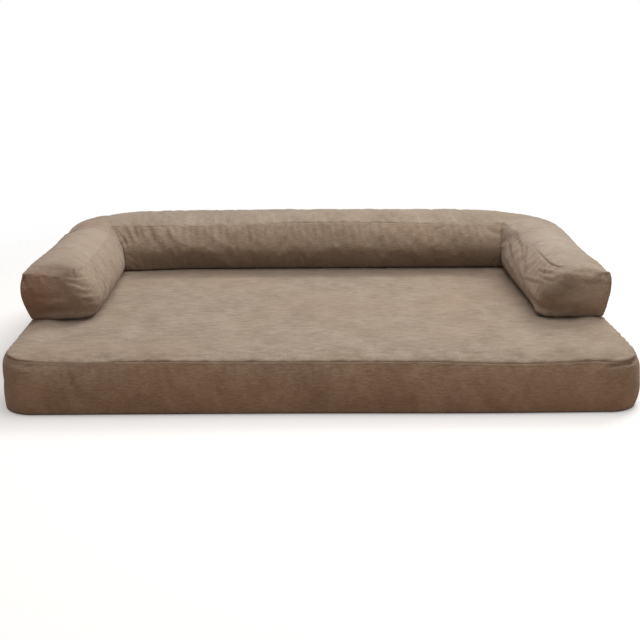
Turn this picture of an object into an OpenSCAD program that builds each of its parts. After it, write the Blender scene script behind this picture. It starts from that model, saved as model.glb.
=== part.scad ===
// Dog sofa bed: a foam mattress in a zipped cloth cover, with a three-sided padded bolster that lifts off it.
// The origin is on the floor under the middle of the mattress; +X is to the right, +Y to the back, +Z up.

/* [Mattress] */
// Width of the mattress at the fullest part of its side band
bed_w = 1300; // [1150:10:1450]
// Depth of the mattress, front to back
bed_d = 860; // [760:10:960]
// Height of the seam between side band and top panel
seam_z = 116; // [105:1:135]
// Plan radius of the mattress corners
corner_r = 70; // [55:1:90]
// How far the top seam is drawn in from the fullest part of the band
top_draw = 12; // [8:1:14]
// How far the bottom seam is drawn in from the fullest part of the band
bottom_draw = 4; // [3:1:8]
// Rise of the top panel from its seam to its flat rim
edge_rise = 6; // [3:0.5:8]
// Distance over which the top panel rises from its seam
edge_run = 10; // [7:1:12]
// Further rise of the seat in the middle of the top panel
seat_crown = 6; // [2:1:10]
// Thickness of the cover cloth
cover_t = 1.6; // [1.2:0.1:2.2]

/* [Mattress filling] */
// Thickness of the memory foam layer
topper_h = 40; // [25:1:55]
// Distance from the fullest part of the band to the waterproof liner
liner_inset = 14.5; // [14:0.5:20]
// Thickness of the waterproof liner
liner_t = 0.8; // [0.5:0.1:1.2]

/* [Bolster] */
// Distance from the fullest part of the band to the bolster's foot
bolster_inset = 22; // [20:1:30]
// Width of the foot of each arm
arm_w = 127; // [115:1:140]
// Depth of the foot of the back run
back_w = 178; // [155:1:195]
// Distance from the front of the mattress to the front of the arms
arm_setback = 238; // [200:2:280]
// Height of the bolster's long seams above its foot
bolster_seam_h = 110; // [95:1:125]
// Rise of the bolster's top between its long seams
bolster_crown = 17; // [10:1:22]
// Plan radius of the bolster's two rear corners
bolster_r = 185; // [150:1:195]
// How far the inner walls swell towards the seat
inner_swell = 18; // [8:1:24]
// How far the outer walls swell outwards
outer_swell = 7; // [4:0.5:9]
// How far the inner long seam leans back over the foot
inner_lean = 10; // [4:0.5:12]
// How far the outer long seam leans out past the foot
outer_lean = 7; // [4:0.5:10]
// How far the front walls of the arms swell forwards
front_swell = 11; // [6:1:18]
// Plan radius of the inner front corner of each arm
front_r = 46; // [30:1:60]
// Size of the tuck at the outer front corner of each arm, where three seams meet
tuck = 4; // [2:0.5:6]
// Gap between the bolster's cover and its filling
fill_gap = 0.8; // [0.6:0.1:0.9]
// Distance from the bolster's foot line to its filling behind the zip
fill_inset = 10; // [9:0.5:16]

/* [Hook and loop tape] */
// Width of the tape that holds the bolster
tape_w = 30; // [20:1:50]
// Thickness of each half of that tape
tape_t = 1; // [0.6:0.1:1.6]
// Length of the tape under the back run
back_tape_l = 700; // [400:10:800]
// Length of the tape under each arm
arm_tape_l = 280; // [160:10:300]

/* [Zips] */
// Height of the mattress zip above the floor
mattress_zip_z = 36; // [32:1:42]
// Height of the bolster zip above the bolster's foot
bolster_zip_z = 28; // [26:1:34]
// Gap between the cloth edges on either side of a zip
zip_gap = 9; // [8.6:0.1:10]
// Width of the cloth hem sewn to the zip
hem_w = 7; // [5:0.5:9]
// Width of one zip tape
zip_tape_w = 14; // [12:0.5:16]
// Thickness of a zip tape
zip_tape_t = 0.7; // [0.5:0.1:1]
// Width of one half of the zip's coil
coil_w = 3; // [2.4:0.1:3.2]
// Thickness of the coil
coil_t = 2.2; // [1.8:0.1:2.6]
// Gap between the halves of the coil
coil_gap = 1.4; // [1.2:0.1:1.8]
// How deep the mattress zip lies behind the fullest part of the band
mattress_recess = 9; // [8:0.5:10]
// How deep the bolster zip lies behind the bolster's foot line
bolster_recess = 4; // [2:0.5:5]
// Distance from the end of a zipped wall to where its slider stops
zip_end = 48; // [44:1:70]

/* [Slider and pull] */
// Length of the slider along the zip
slider_l = 11; // [10:0.5:14]
// Width of the slider across the zip
slider_w = 9.4; // [8.8:0.1:10]
// Thickness of the slider's plates
plate_t = 0.9; // [0.7:0.1:1.2]
// Running clearance of the slider over coil and tape
slider_gap = 0.3; // [0.2:0.05:0.4]
// Length of the post that joins the plates
post_l = 4; // [3:0.5:5]
// Clearance of that post between the halves of the coil
post_gap = 0.2; // [0.1:0.05:0.3]
// Length of the bridge that holds the pull
bridge_l = 9; // [8:0.5:10]
// Width of the bridge
bridge_w = 2.4; // [2:0.1:2.8]
// Thickness of the bridge
bridge_t = 0.9; // [0.7:0.1:1.1]
// Radius of the pull's round crossbar
crossbar_r = 0.7; // [0.6:0.05:0.8]
// Play of the crossbar under the bridge
crossbar_play = 0.45; // [0.4:0.05:0.6]
// Length of the pull from its crossbar
pull_l = 30; // [24:1:34]
// Width of the pull at its free end
pull_w = 8; // [7:0.5:9]
// Thickness of the pull
pull_t = 1.2; // [1:0.1:1.3]
// Width of each side bar of the pull's eye
eye_bar_w = 1.1; // [0.9:0.1:1.4]
// Length of the stops at the ends of a coil
stop_l = 3; // [2:0.5:4]

/* [Hidden] */

// Gap between soft pieces that rest on each other
fit = 0.2;
// How far a cutting shape runs past what it cuts
overrun = 1;
// Segments of a quarter turn in the plan outlines
arc_n = 6;
// Segments up a wall; even, so that one point is at the fullest part
wall_n = 8;
// Segments across the bolster's top
top_n = 8;
// Smallest plan radius of the crowned seat's inner rings
ring_r = 8;

cloth = "#8f7561";
cloth_dark = "#7b614d";
base_cloth = "#3c3733";
liner_grey = "#c9ccd0";
foam_white = "#e9e2cf";
foam_blue = "#a9bccb";
fibre = "#efece6";
zip_brown = "#4d4037";
brass_tone = "#8a8378";

// Levels from the floor up
rim_z = seam_z + edge_rise;
liner_z = cover_t + fit;
liner_top = rim_z - cover_t - fit;
foam_z = liner_z + liner_t + fit;
foam_top = liner_top - liner_t - fit;
foot_z = rim_z + 2 * tape_t + fit;
bolster_seam_z = foot_z + bolster_seam_h;

// Plan lines of the bolster's foot
arm_out_x = bed_w / 2 - bolster_inset;
arm_in_x = arm_out_x - arm_w;
back_out_y = bed_d / 2 - bolster_inset;
back_in_y = back_out_y - back_w;
arm_front_y = arm_setback - bed_d / 2;

// Zipped walls run between the rear corner arcs
mattress_wall_x = bed_w / 2 - corner_r;
bolster_wall_x = arm_out_x - bolster_r;

function mix(a, b, share) = a + (b - a) * share;
function flat(lists) = [for (l = lists) each l];

// Faces of a skin of rings with n points each; every ring is a closed loop.
function skin_faces(rings, n) = [
    for (i = [0:rings - 2], j = [0:n - 1])
        let (a = i * n + j, b = i * n + (j + 1) % n)
        each [[a, b, b + n], [a, b + n, a + n]]
];
// Caps of a convex first and last ring, as fans.
function fan_caps(rings, n) = [
    for (j = [1:n - 2])
        let (last = (rings - 1) * n)
        each [[0, j + 1, j], [last, last + j, last + j + 1]]
];
// Caps of a first and last ring that go out along a strip and back along its other side.
function strip_caps(rings, n) = [
    for (k = [0:n / 2 - 2])
        let (far = n - 1 - k, last = (rings - 1) * n)
        each [
            [k, far, k + 1], [k + 1, far, far - 1],
            [last + k, last + k + 1, last + far], [last + k + 1, last + far - 1, last + far]
        ]
];
module fan_skin(rings) {
    n = len(rings[0]);
    polyhedron(flat(rings), concat(skin_faces(len(rings), n), fan_caps(len(rings), n)));
}
module strip_skin(rings) {
    n = len(rings[0]);
    polyhedron(flat(rings), concat(skin_faces(len(rings), n), strip_caps(len(rings), n)));
}

// Rounded rectangle of the bed's plan, drawn in by inset, from the rear left corner round the front.
function plan_outline(inset, corner, least) =
    let (r = max(corner - inset, least), hx = bed_w / 2 - inset - r, hy = bed_d / 2 - inset - r)
    [
        for (c = [0:3], j = [0:arc_n])
            let (turn = 90 * (1 + c + j / arc_n))
            [(c < 2 ? -hx : hx) + r * cos(turn), (c == 1 || c == 2 ? -hy : hy) + r * sin(turn)]
    ];
function plan_ring(inset, z) = [for (p = plan_outline(inset, corner_r, ring_r)) [p.x, p.y, z]];

// Where the seat's crown begins and how it rises, as shares of the way from the bolster's foot to the middle
crown_shares = [0, 0.18, 0.42, 0.7];
seat_edge = bolster_inset + max(arm_w, back_w) + cover_t;
seat_half = bed_d / 2 - seat_edge - ring_r;
// The rise at the rim follows a quarter ellipse
rim_shares = [0, 0.2, 0.5, 1];

function top_rings(drop) = concat(
    [
        for (s = rim_shares)
            let (inset = top_draw + edge_run * s, edge = s == 0 ? cover_t / 2 * sign(drop) : 0)
            plan_ring(inset + edge, seam_z + edge_rise * sqrt(1 - pow(1 - s, 2)) - drop)
    ],
    [
        for (s = crown_shares)
            plan_ring(seat_edge + seat_half * s, rim_z + seat_crown * pow(sin(90 * min(1, s / 0.7)), 2) - drop)
    ]
);
function reversed(list) = [for (i = [len(list) - 1:-1:0]) list[i]];

module mattress_top_panel() {
    color(cloth) fan_skin(concat(reversed(top_rings(0)), top_rings(cover_t)));
}

// Band section at height share s: how far it is drawn in from the fullest part.
function band_draw(s) = pow(abs(2 * s - 1), 2.5) * mix(bottom_draw, top_draw, s);
function band_section() = concat(
    [for (k = [0:wall_n]) [band_draw(k / wall_n), mix(cover_t, seam_z, k / wall_n)]],
    [
        for (k = [wall_n:-1:0])
            k == wall_n
                ? [top_draw + cover_t / 2, seam_z - cover_t]
                : [band_draw(k / wall_n) + cover_t, mix(cover_t, seam_z, k / wall_n)]
    ]
);

module mattress_side_band() {
    lines = [for (s = band_section()) plan_ring(s[0], s[1])];
    color(cloth_dark) strip_skin([for (i = [0:len(lines[0]) - 1]) [for (l = lines) l[i]]]);
}

// A wall section between two points [outward, up], swollen outwards between them; each inner point is cover_t in.
function wall_line(low, high, swell, n) =
    [for (k = [0:n]) mix(low, high, k / n) + [swell * pow(sin(180 * k / n), 0.75), 0]];
// The strips above and below a zip: hem, then wall, then the seam that they share with the next panel.
function upper_strip(zip_z, recess, seam, swell) =
    let (
        hem = zip_z + zip_gap / 2,
        line = concat([[-recess, hem]], wall_line([-recess, hem + hem_w], seam, swell, wall_n))
    )
    concat(
        line,
        [seam - [cover_t / (seam.x < 0 ? 2 : 1), cover_t]],
        [for (i = [len(line) - 2:-1:0]) line[i] - [cover_t, 0]]
    );
function lower_strip(zip_z, recess, seam, swell) =
    let (
        hem = zip_z - zip_gap / 2,
        line = concat(wall_line(seam, [-recess, hem - hem_w], swell, wall_n / 2), [[-recess, hem]])
    )
    concat(line, [for (i = [len(line) - 1:-1:0]) line[i] - [cover_t, 0]]);

// Extrudes a section [outward, up] from -half to half along X, at the wall line y.
module along_wall(y, half, section) {
    translate([half, y, 0]) rotate([90, 0, -90]) linear_extrude(2 * half)
        polygon([for (p = section) [-p.x, p.y]]);
}

// The upper wall swells just far enough for its middle to reach the fullest line.
mattress_swell = (mattress_recess + top_draw) / 2;

module mattress_rear_upper_strip() {
    color(cloth_dark) along_wall(
        bed_d / 2, mattress_wall_x,
        upper_strip(mattress_zip_z, mattress_recess, [-top_draw, seam_z], mattress_swell)
    );
}
module mattress_rear_lower_strip() {
    color(cloth_dark) along_wall(
        bed_d / 2, mattress_wall_x,
        lower_strip(mattress_zip_z, mattress_recess, [-bottom_draw, cover_t], bottom_draw / 2)
    );
}
module mattress_base_panel() {
    color(base_cloth) linear_extrude(cover_t) polygon(plan_outline(bottom_draw, corner_r, ring_r));
}

// A slab of the bed's plan whose top edge rolls in under the cover, as liner and foam do.
module rolled_slab(inset, low, top) {
    roll_z = seam_z - 2 * cover_t - (liner_top - top);
    fan_skin([plan_ring(inset + edge_run, top), plan_ring(inset, roll_z), plan_ring(inset, low)]);
}
module waterproof_liner() {
    color(liner_grey) difference() {
        rolled_slab(liner_inset, liner_z, liner_top);
        rolled_slab(liner_inset + liner_t, liner_z + liner_t, liner_top - liner_t);
    }
}
foam_inset = liner_inset + liner_t + fit;
module support_foam_base() {
    color(foam_blue) translate([0, 0, foam_z])
        linear_extrude(foam_top - foam_z - topper_h) polygon(plan_outline(foam_inset, corner_r, ring_r));
}
module memory_foam_topper() {
    color(foam_white) rolled_slab(foam_inset, foam_top - topper_h, foam_top);
}

// Middle lines of the bolster's foot, where its hook and loop tape is sewn
arm_mid_x = (arm_in_x + arm_out_x) / 2;
back_mid_y = (back_in_y + back_out_y) / 2;
arm_tape_y = (arm_front_y + back_in_y) / 2;
module holding_strips(z) {
    for (side = [-1, 1])
        translate([side * arm_mid_x - tape_w / 2, arm_tape_y - arm_tape_l / 2, z])
            cube([tape_w, arm_tape_l, tape_t]);
    translate([-back_tape_l / 2, back_mid_y - tape_w / 2, z]) cube([back_tape_l, tape_w, tape_t]);
}
module hook_strips() {
    color(zip_brown) holding_strips(rim_z);
}
module loop_strips() {
    color(zip_brown) holding_strips(rim_z + tape_t + fit);
}

// Stations of the bolster's left half, from the outer front corner of the arm round to the middle of the back.
// Each is [inner foot point, normal, lean, swell, outer foot point, normal]; normals point out of the bolster.
// Where two walls meet in a mitre, the normal is the sum of theirs.
front_shares = [0, 0.3, 0.65, 1];
front_turn_shares = [0.25, 0.5, 0.75, 1];
front_n = len(front_shares) + len(front_turn_shares) - 1;
// The outer points of the front fan lie along this share of the arm's width
front_fan_share = 0.75;
front_fan = arm_w * front_fan_share;
// Distances of the inner corner's fan, past the swell, in shares of the rear corner radius
fan_shares = [0.45, 0.25, 0.1];
// The straight stations stop short of both fans by this share of the rear corner radius
stop_share = 0.7;
fan_stop = inner_swell + bolster_r * stop_share;
arm_shares = [0, 0.5, 1];
back_shares = [0, 0.5, 1];

function around(centre, r, turn) = centre + r * [cos(turn), sin(turn)];
function front_out(i) = [-arm_out_x, arm_front_y + front_fan * i / front_n];
function rear_out(turn) = around([bolster_r - arm_out_x, back_out_y - bolster_r], bolster_r, turn);
front_stations = concat(
    [[[-arm_out_x, arm_front_y], [-1, -1], outer_lean, outer_swell, [-arm_out_x, arm_front_y], [-1, -1]]],
    [
        for (i = [1:len(front_shares) - 1])
            let (run = (arm_w - front_r) * front_shares[i])
            [[run - arm_out_x, arm_front_y], [0, -1], outer_lean, front_swell, front_out(i), [-1, 0]]
    ],
    [
        for (i = [0:len(front_turn_shares) - 1])
            let (s = front_turn_shares[i], turn = mix(-90, 0, s))
            [
                around([-arm_in_x - front_r, arm_front_y + front_r], front_r, turn), [cos(turn), sin(turn)],
                mix(outer_lean, -inner_lean, s), mix(front_swell, inner_swell, s),
                front_out(i + len(front_shares)), [-1, 0]
            ]
    ]
);
arm_stations = [
    for (s = arm_shares)
        let (y = mix(arm_front_y + front_fan * (1 + front_fan_share / front_n), back_in_y - fan_stop, s))
        [[-arm_in_x, y], [1, 0], -inner_lean, inner_swell, [-arm_out_x, y], [-1, 0]]
];
corner_stations = concat(
    [
        for (i = [0:2])
            let (run = inner_swell + bolster_r * fan_shares[i], turn = 180 - 15 * i)
            [
                [-arm_in_x, back_in_y - run], [1, 0], -inner_lean, inner_swell,
                rear_out(turn), [cos(turn), sin(turn)]
            ]
    ],
    [[[-arm_in_x, back_in_y], [1, -1], -inner_lean, inner_swell, rear_out(135), [cos(135), sin(135)]]],
    [
        for (i = [2:-1:0])
            let (run = inner_swell + bolster_r * fan_shares[i], turn = 90 + 15 * i)
            [
                [run - arm_in_x, back_in_y], [0, -1], -inner_lean, inner_swell,
                rear_out(turn), [cos(turn), sin(turn)]
            ]
    ]
);
back_stations = [
    for (s = back_shares)
        let (x = mix(fan_stop - arm_in_x, 0, s))
        [[x, back_in_y], [0, -1], -inner_lean, inner_swell, [x, back_out_y], [0, 1]]
];
left_stations = concat(front_stations, arm_stations, corner_stations, back_stations);
function flip(p) = [-p.x, p.y];
function mirrored(st) = [flip(st[0]), flip(st[1]), st[2], st[3], flip(st[4]), flip(st[5])];
stations = concat(left_stations, [for (i = [len(left_stations) - 2:-1:0]) mirrored(left_stations[i])]);
corner_i = len(front_stations) + len(arm_stations) + 3;
zip_i = corner_i + 3;
last_i = len(stations) - 1;
// At the outer front corner the top and base panels stop short of the corner by the tuck.
function tucked(st) =
    let (side = sign(st[0].x))
    [st[0] - [side * tuck, 0], st[1], st[2], st[3], st[4] + [0, tuck], st[5]];

// Corners of the bolster's section, counted round its loop
inner_seam_k = wall_n;
outer_seam_k = wall_n + top_n;
outer_foot_k = 2 * wall_n + top_n;
loop_n = outer_foot_k + 1;

// Where the two walls of a station are closer than an arm's width, walls and crown swell less.
function closeness(st) = min(1, pow(norm(st[4] - st[0]) / arm_w, 0.7));
least_swell_share = 0.6;
function fullness(st) = max(least_swell_share, closeness(st));
// Point of a wall at share s of its height, "inward" of its outside and at foot and seam "upright" short of them.
function wall_point(foot, normal, lean, swell, s, inward, upright) =
    let (w = foot + normal * (lean * s + swell * pow(sin(180 * s), 0.75) - inward))
    [w.x, w.y, foot_z + bolster_seam_h * s + (s == 0 ? upright : s == 1 ? -upright : 0)];
function inner_point(st, s, deep) = wall_point(st[0], st[1], st[2], st[3] * fullness(st), s, deep, deep);
function outer_point(st, s, deep) =
    wall_point(st[4], st[5], outer_lean, outer_swell * fullness(st), s, deep, deep);
// Point k of the loop, "deep" inside it: up the inner wall, across the top and down the outer wall.
function loop_point(st, k, deep) =
    k <= inner_seam_k ? inner_point(st, k / wall_n, deep)
    : k >= outer_seam_k ? outer_point(st, (outer_foot_k - k) / wall_n, deep)
    : let (s = (k - inner_seam_k) / top_n, rise = bolster_crown * closeness(st) * pow(sin(180 * s), 0.6))
        mix(inner_point(st, 1, deep), outer_point(st, 1, deep), s) + [0, 0, rise];
function panel_ring(st, k0, k1) = concat(
    [for (k = [k0:k1]) loop_point(st, k % loop_n, 0)],
    [for (k = [k1:-1:k0]) loop_point(st, k % loop_n, cover_t)]
);
module bolster_wall(i0, i1, k0, k1) {
    strip_skin([for (i = [i0:i1]) panel_ring(stations[i], k0, k1)]);
}
module tucked_panel(k0, k1) {
    strip_skin([for (i = [0:last_i]) panel_ring(i % last_i == 0 ? tucked(stations[i]) : stations[i], k0, k1)]);
}

module bolster_top_panel() {
    color(cloth) tucked_panel(inner_seam_k, outer_seam_k);
}
module bolster_inner_left() {
    color(cloth_dark) bolster_wall(0, corner_i, 0, inner_seam_k);
}
module bolster_inner_back() {
    color(cloth_dark) bolster_wall(corner_i, last_i - corner_i, 0, inner_seam_k);
}
module bolster_inner_right() {
    color(cloth_dark) bolster_wall(last_i - corner_i, last_i, 0, inner_seam_k);
}
module bolster_outer_left() {
    color(cloth_dark) bolster_wall(0, zip_i, outer_seam_k, outer_foot_k);
}
module bolster_outer_right() {
    color(cloth_dark) bolster_wall(last_i - zip_i, last_i, outer_seam_k, outer_foot_k);
}
module bolster_base_panel() {
    color(base_cloth) tucked_panel(outer_foot_k, loop_n);
}
module bolster_rear_upper_strip() {
    color(cloth_dark) along_wall(
        back_out_y, bolster_wall_x,
        upper_strip(foot_z + bolster_zip_z, bolster_recess, [outer_lean, bolster_seam_z], outer_swell)
    );
}
module bolster_rear_lower_strip() {
    color(cloth_dark) along_wall(
        back_out_y, bolster_wall_x,
        lower_strip(foot_z + bolster_zip_z, bolster_recess, [0, foot_z + cover_t], outer_swell / 2)
    );
}

// The filling lies just inside the cover. Behind the zip its outer wall is flat and further in.
fill_deep = cover_t + fill_gap;
function fill_point(st, k, zipped) =
    zipped && k >= outer_seam_k
        ? wall_point(st[4], st[5], 0, 0, (outer_foot_k - k) / wall_n, fill_inset, fill_deep)
        : loop_point(st, k, fill_deep) - [0, 0, k > inner_seam_k && k < outer_seam_k ? fill_gap : 0];
module filling(i0, i1) {
    fan_skin([
        for (i = [i0:i1])
            let (zipped = i >= zip_i && i <= last_i - zip_i)
            [for (k = [0:loop_n - 1]) fill_point(stations[i], k, zipped)]
    ]);
}
module bolster_fill_left() {
    color(fibre) filling(1, corner_i);
}
module bolster_fill_back() {
    color(fibre) filling(corner_i, last_i - corner_i);
}
module bolster_fill_right() {
    color(fibre) filling(last_i - corner_i, last_i - 1);
}

// Everything on a zip is placed by the face of its hems: y outwards from there, z from the middle of the coil.
tape_face = -cover_t;
module zip_tape(half, side) {
    z0 = side > 0 ? coil_gap / 2 : -coil_gap / 2 - zip_tape_w;
    translate([-half, tape_face - zip_tape_t, z0]) cube([2 * half, zip_tape_t, zip_tape_w]);
}
module zip_coil(half) {
    for (z0 = [coil_gap / 2, -coil_gap / 2 - coil_w])
        translate([-half, tape_face, z0]) cube([2 * half, coil_t, coil_w]);
}
module zip_stops(half) {
    for (side = [-1, 1])
        translate([side * (half + stop_l / 2) - stop_l / 2, tape_face, -coil_w])
            cube([stop_l, coil_t, 2 * coil_w]);
}
back_plate_y = tape_face - zip_tape_t - slider_gap - plate_t;
front_plate_y = tape_face + coil_t + slider_gap;
plate_face = front_plate_y + plate_t;
crossbar_y = plate_face + crossbar_play + crossbar_r;
bridge_h = 2 * (crossbar_play + crossbar_r);
plate_corner = plate_t;
module rounded_plate(l, w, t) {
    translate([0, t, 0]) rotate([90, 0, 0]) linear_extrude(t) hull()
        for (x = [-1, 1], z = [-1, 1])
            translate([x * (l / 2 - plate_corner), z * (w / 2 - plate_corner)]) circle(plate_corner, $fn = 24);
}
module zip_slider() {
    translate([0, back_plate_y, 0]) rounded_plate(slider_l, slider_w, plate_t);
    translate([0, front_plate_y, 0]) rounded_plate(slider_l, slider_w, plate_t);
    post_w = coil_gap - 2 * post_gap;
    translate([-post_l / 2, back_plate_y, -post_w / 2]) cube([post_l, plate_face - back_plate_y, post_w]);
    translate([-bridge_l / 2, plate_face, -bridge_w / 2]) difference() {
        cube([bridge_l, bridge_h + bridge_t, bridge_w]);
        translate([bridge_t, -overrun, -overrun])
            cube([bridge_l - 2 * bridge_t, bridge_h + overrun, bridge_w + 2 * overrun]);
    }
}
eye_l = bridge_l / 2 + 2 * bridge_t;
eye_w = bridge_w + 2 * crossbar_play;
// The pull points towards -X from its crossbar, which is on the Z axis.
module zip_pull() {
    half = eye_w / 2 + eye_bar_w;
    cylinder(r = crossbar_r, h = 2 * half, center = true, $fn = 32);
    translate([0, pull_t / 2, 0]) rotate([90, 0, 0]) linear_extrude(pull_t) {
        for (side = [-1, 1])
            translate([-eye_l, side * (eye_w + eye_bar_w) / 2 - eye_bar_w / 2]) square([eye_l, eye_bar_w]);
        polygon([
            [-eye_l, -half], [-eye_l, half], [-pull_l + pull_w / 4, pull_w / 2], [-pull_l, pull_w / 4],
            [-pull_l, -pull_w / 4], [-pull_l + pull_w / 4, -pull_w / 2]
        ]);
    }
}

// Half the length of each coil; its slider stands at the right end when the zip is shut.
mattress_zip_half = mattress_wall_x - zip_end + slider_l / 2;
bolster_zip_half = bolster_wall_x - zip_end + slider_l / 2;
module at_mattress_zip() {
    translate([0, bed_d / 2 - mattress_recess, mattress_zip_z]) children();
}
module at_bolster_zip() {
    translate([0, back_out_y - bolster_recess, foot_z + bolster_zip_z]) children();
}
module mattress_zip_upper_tape() {
    color(zip_brown) at_mattress_zip() zip_tape(mattress_wall_x - cover_t, 1);
}
module mattress_zip_lower_tape() {
    color(zip_brown) at_mattress_zip() zip_tape(mattress_wall_x - cover_t, -1);
}
module mattress_zip_coil() {
    color(zip_brown) at_mattress_zip() zip_coil(mattress_zip_half);
}
module mattress_zip_stops() {
    color(brass_tone) at_mattress_zip() zip_stops(mattress_zip_half);
}
module mattress_zip_slider() {
    color(brass_tone) at_mattress_zip() translate([mattress_wall_x - zip_end, 0, 0]) zip_slider();
}
module mattress_zip_pull() {
    color(brass_tone) at_mattress_zip() translate([mattress_wall_x - zip_end, crossbar_y, 0]) zip_pull();
}
module bolster_zip_upper_tape() {
    color(zip_brown) at_bolster_zip() zip_tape(bolster_wall_x - cover_t, 1);
}
module bolster_zip_lower_tape() {
    color(zip_brown) at_bolster_zip() zip_tape(bolster_wall_x - cover_t, -1);
}
module bolster_zip_coil() {
    color(zip_brown) at_bolster_zip() zip_coil(bolster_zip_half);
}
module bolster_zip_stops() {
    color(brass_tone) at_bolster_zip() zip_stops(bolster_zip_half);
}
module bolster_zip_slider() {
    color(brass_tone) at_bolster_zip() translate([bolster_wall_x - zip_end, 0, 0]) zip_slider();
}
module bolster_zip_pull() {
    color(brass_tone) at_bolster_zip() translate([bolster_wall_x - zip_end, crossbar_y, 0]) zip_pull();
}

mattress_top_panel();
mattress_side_band();
mattress_rear_upper_strip();
mattress_rear_lower_strip();
mattress_base_panel();
waterproof_liner();
memory_foam_topper();
support_foam_base();
mattress_zip_upper_tape();
mattress_zip_lower_tape();
mattress_zip_coil();
mattress_zip_stops();
mattress_zip_slider();
mattress_zip_pull();
hook_strips();
bolster_top_panel();
bolster_inner_left();
bolster_inner_back();
bolster_inner_right();
bolster_outer_left();
bolster_outer_right();
bolster_rear_upper_strip();
bolster_rear_lower_strip();
bolster_base_panel();
bolster_fill_left();
bolster_fill_back();
bolster_fill_right();
bolster_zip_upper_tape();
bolster_zip_lower_tape();
bolster_zip_coil();
bolster_zip_stops();
bolster_zip_slider();
bolster_zip_pull();
loop_strips();
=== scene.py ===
import math

import bmesh
import bpy
import numpy as np
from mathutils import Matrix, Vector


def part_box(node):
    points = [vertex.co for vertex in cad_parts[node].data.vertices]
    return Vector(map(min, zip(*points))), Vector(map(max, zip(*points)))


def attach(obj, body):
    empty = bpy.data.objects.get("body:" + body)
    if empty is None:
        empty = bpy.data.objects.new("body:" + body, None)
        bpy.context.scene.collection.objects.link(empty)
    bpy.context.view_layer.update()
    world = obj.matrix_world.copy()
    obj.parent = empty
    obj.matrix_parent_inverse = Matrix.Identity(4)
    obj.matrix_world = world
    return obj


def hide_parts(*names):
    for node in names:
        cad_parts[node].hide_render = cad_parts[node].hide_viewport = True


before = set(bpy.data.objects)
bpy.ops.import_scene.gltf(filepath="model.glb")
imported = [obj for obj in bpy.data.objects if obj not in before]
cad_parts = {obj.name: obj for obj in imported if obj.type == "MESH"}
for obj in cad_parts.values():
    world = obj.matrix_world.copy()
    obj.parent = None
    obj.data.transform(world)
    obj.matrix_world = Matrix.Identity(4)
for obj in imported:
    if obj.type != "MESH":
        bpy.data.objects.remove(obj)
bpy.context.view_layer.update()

# --- Cloth of both covers ---
# A brushed woven cloth in taupe melange, for both covers. Thick and thin weft yarns show as slubs and streaks over
# a small regular weave. The walls get darker, warmer copies of the top's colours: painted shade. In places light is
# painted on as paler cloth and shade as darker cloth, and some places are tinted browner, partly as warm painted shade.


class Socket:
    """One value in a material. Sums and products of these add Math nodes."""

    def __init__(self, finish, socket):
        self.finish, self.socket = finish, socket

    def math(self, operation, *values):
        return self.finish.node("ShaderNodeMath", {"operation": operation}, dict(enumerate(values)))

    def __add__(self, other):
        return self.math("ADD", self, other)

    def __mul__(self, other):
        return self.math("MULTIPLY", self, other)

    def __rsub__(self, other):
        return self.math("SUBTRACT", other, self)

    __radd__, __rmul__ = __add__, __mul__

    def sine(self):
        return self.math("SINE", self)

    def ramp(self, low, high):
        """0 below low, 1 above high, smooth between."""
        ends = {"Value": self, "From Min": low, "From Max": high}
        return self.finish.node("ShaderNodeMapRange", {"interpolation_type": "SMOOTHSTEP"}, ends)


class Finish:
    """A material of one Principled shader. Its nodes come from node()."""

    def __init__(self, name, **constants):
        self.material = bpy.data.materials.new(name)
        self.material.use_nodes = True
        self.tree = self.material.node_tree
        self.shader = self.tree.nodes["Principled BSDF"]
        for socket, value in constants.items():
            self.shader.inputs[socket.replace("_", " ")].default_value = value

    def node(self, kind, settings, values, output=0):
        made = self.tree.nodes.new(kind)
        for name, value in settings.items():
            setattr(made, name, value)
        for name, value in values.items():
            self.put(value, made.inputs[name])
        shown = [s for s in made.outputs if s.enabled]
        return Socket(self, made.outputs[output] if isinstance(output, str) else shown[output])

    def put(self, value, socket):
        if isinstance(value, Socket):
            self.tree.links.new(value.socket, socket)
        else:
            socket.default_value = value

    def set(self, **values):
        for name, value in values.items():
            self.put(value, self.shader.inputs[name.replace("_", " ")])

    def noise(self, place, scale, detail=2.0, roughness=0.5):
        return self.node(
            "ShaderNodeTexNoise", {}, {"Vector": place, "Scale": scale, "Detail": detail, "Roughness": roughness}
        )

    def place(self):
        """Where a point lies on its piece, in metres."""
        return self.node("ShaderNodeTexCoord", {}, {}, "Object")

    def axis(self, vector, letter):
        return self.node("ShaderNodeSeparateXYZ", {}, {"Vector": vector}, letter)

    def stretched(self, place, along, across, up=1.0):
        return self.node("ShaderNodeMapping", {}, {"Vector": place, "Scale": (along, across, up)})

    def mix(self, share, low, high):
        """Colour between low and high."""
        made = self.tree.nodes.new("ShaderNodeMix")
        made.data_type = "RGBA"
        for value, socket in ((share, made.inputs[0]), (low, made.inputs[6]), (high, made.inputs[7])):
            self.put(value, socket)
        return Socket(self, made.outputs[2])

    def bump(self, height, distance, normal=None):
        values = {"Height": height, "Distance": distance, "Strength": 1.0}
        if normal is not None:
            values["Normal"] = normal
        return self.node("ShaderNodeBump", {}, values)


def colour(red, green, blue):
    """A colour of a shader's socket from the 0 to 255 values that a screen shows."""
    return tuple(
        c / 255 / 12.92 if c <= 10 else ((c / 255 + 0.055) / 1.055) ** 2.4 for c in (red, green, blue)
    ) + (1.0,)


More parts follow.
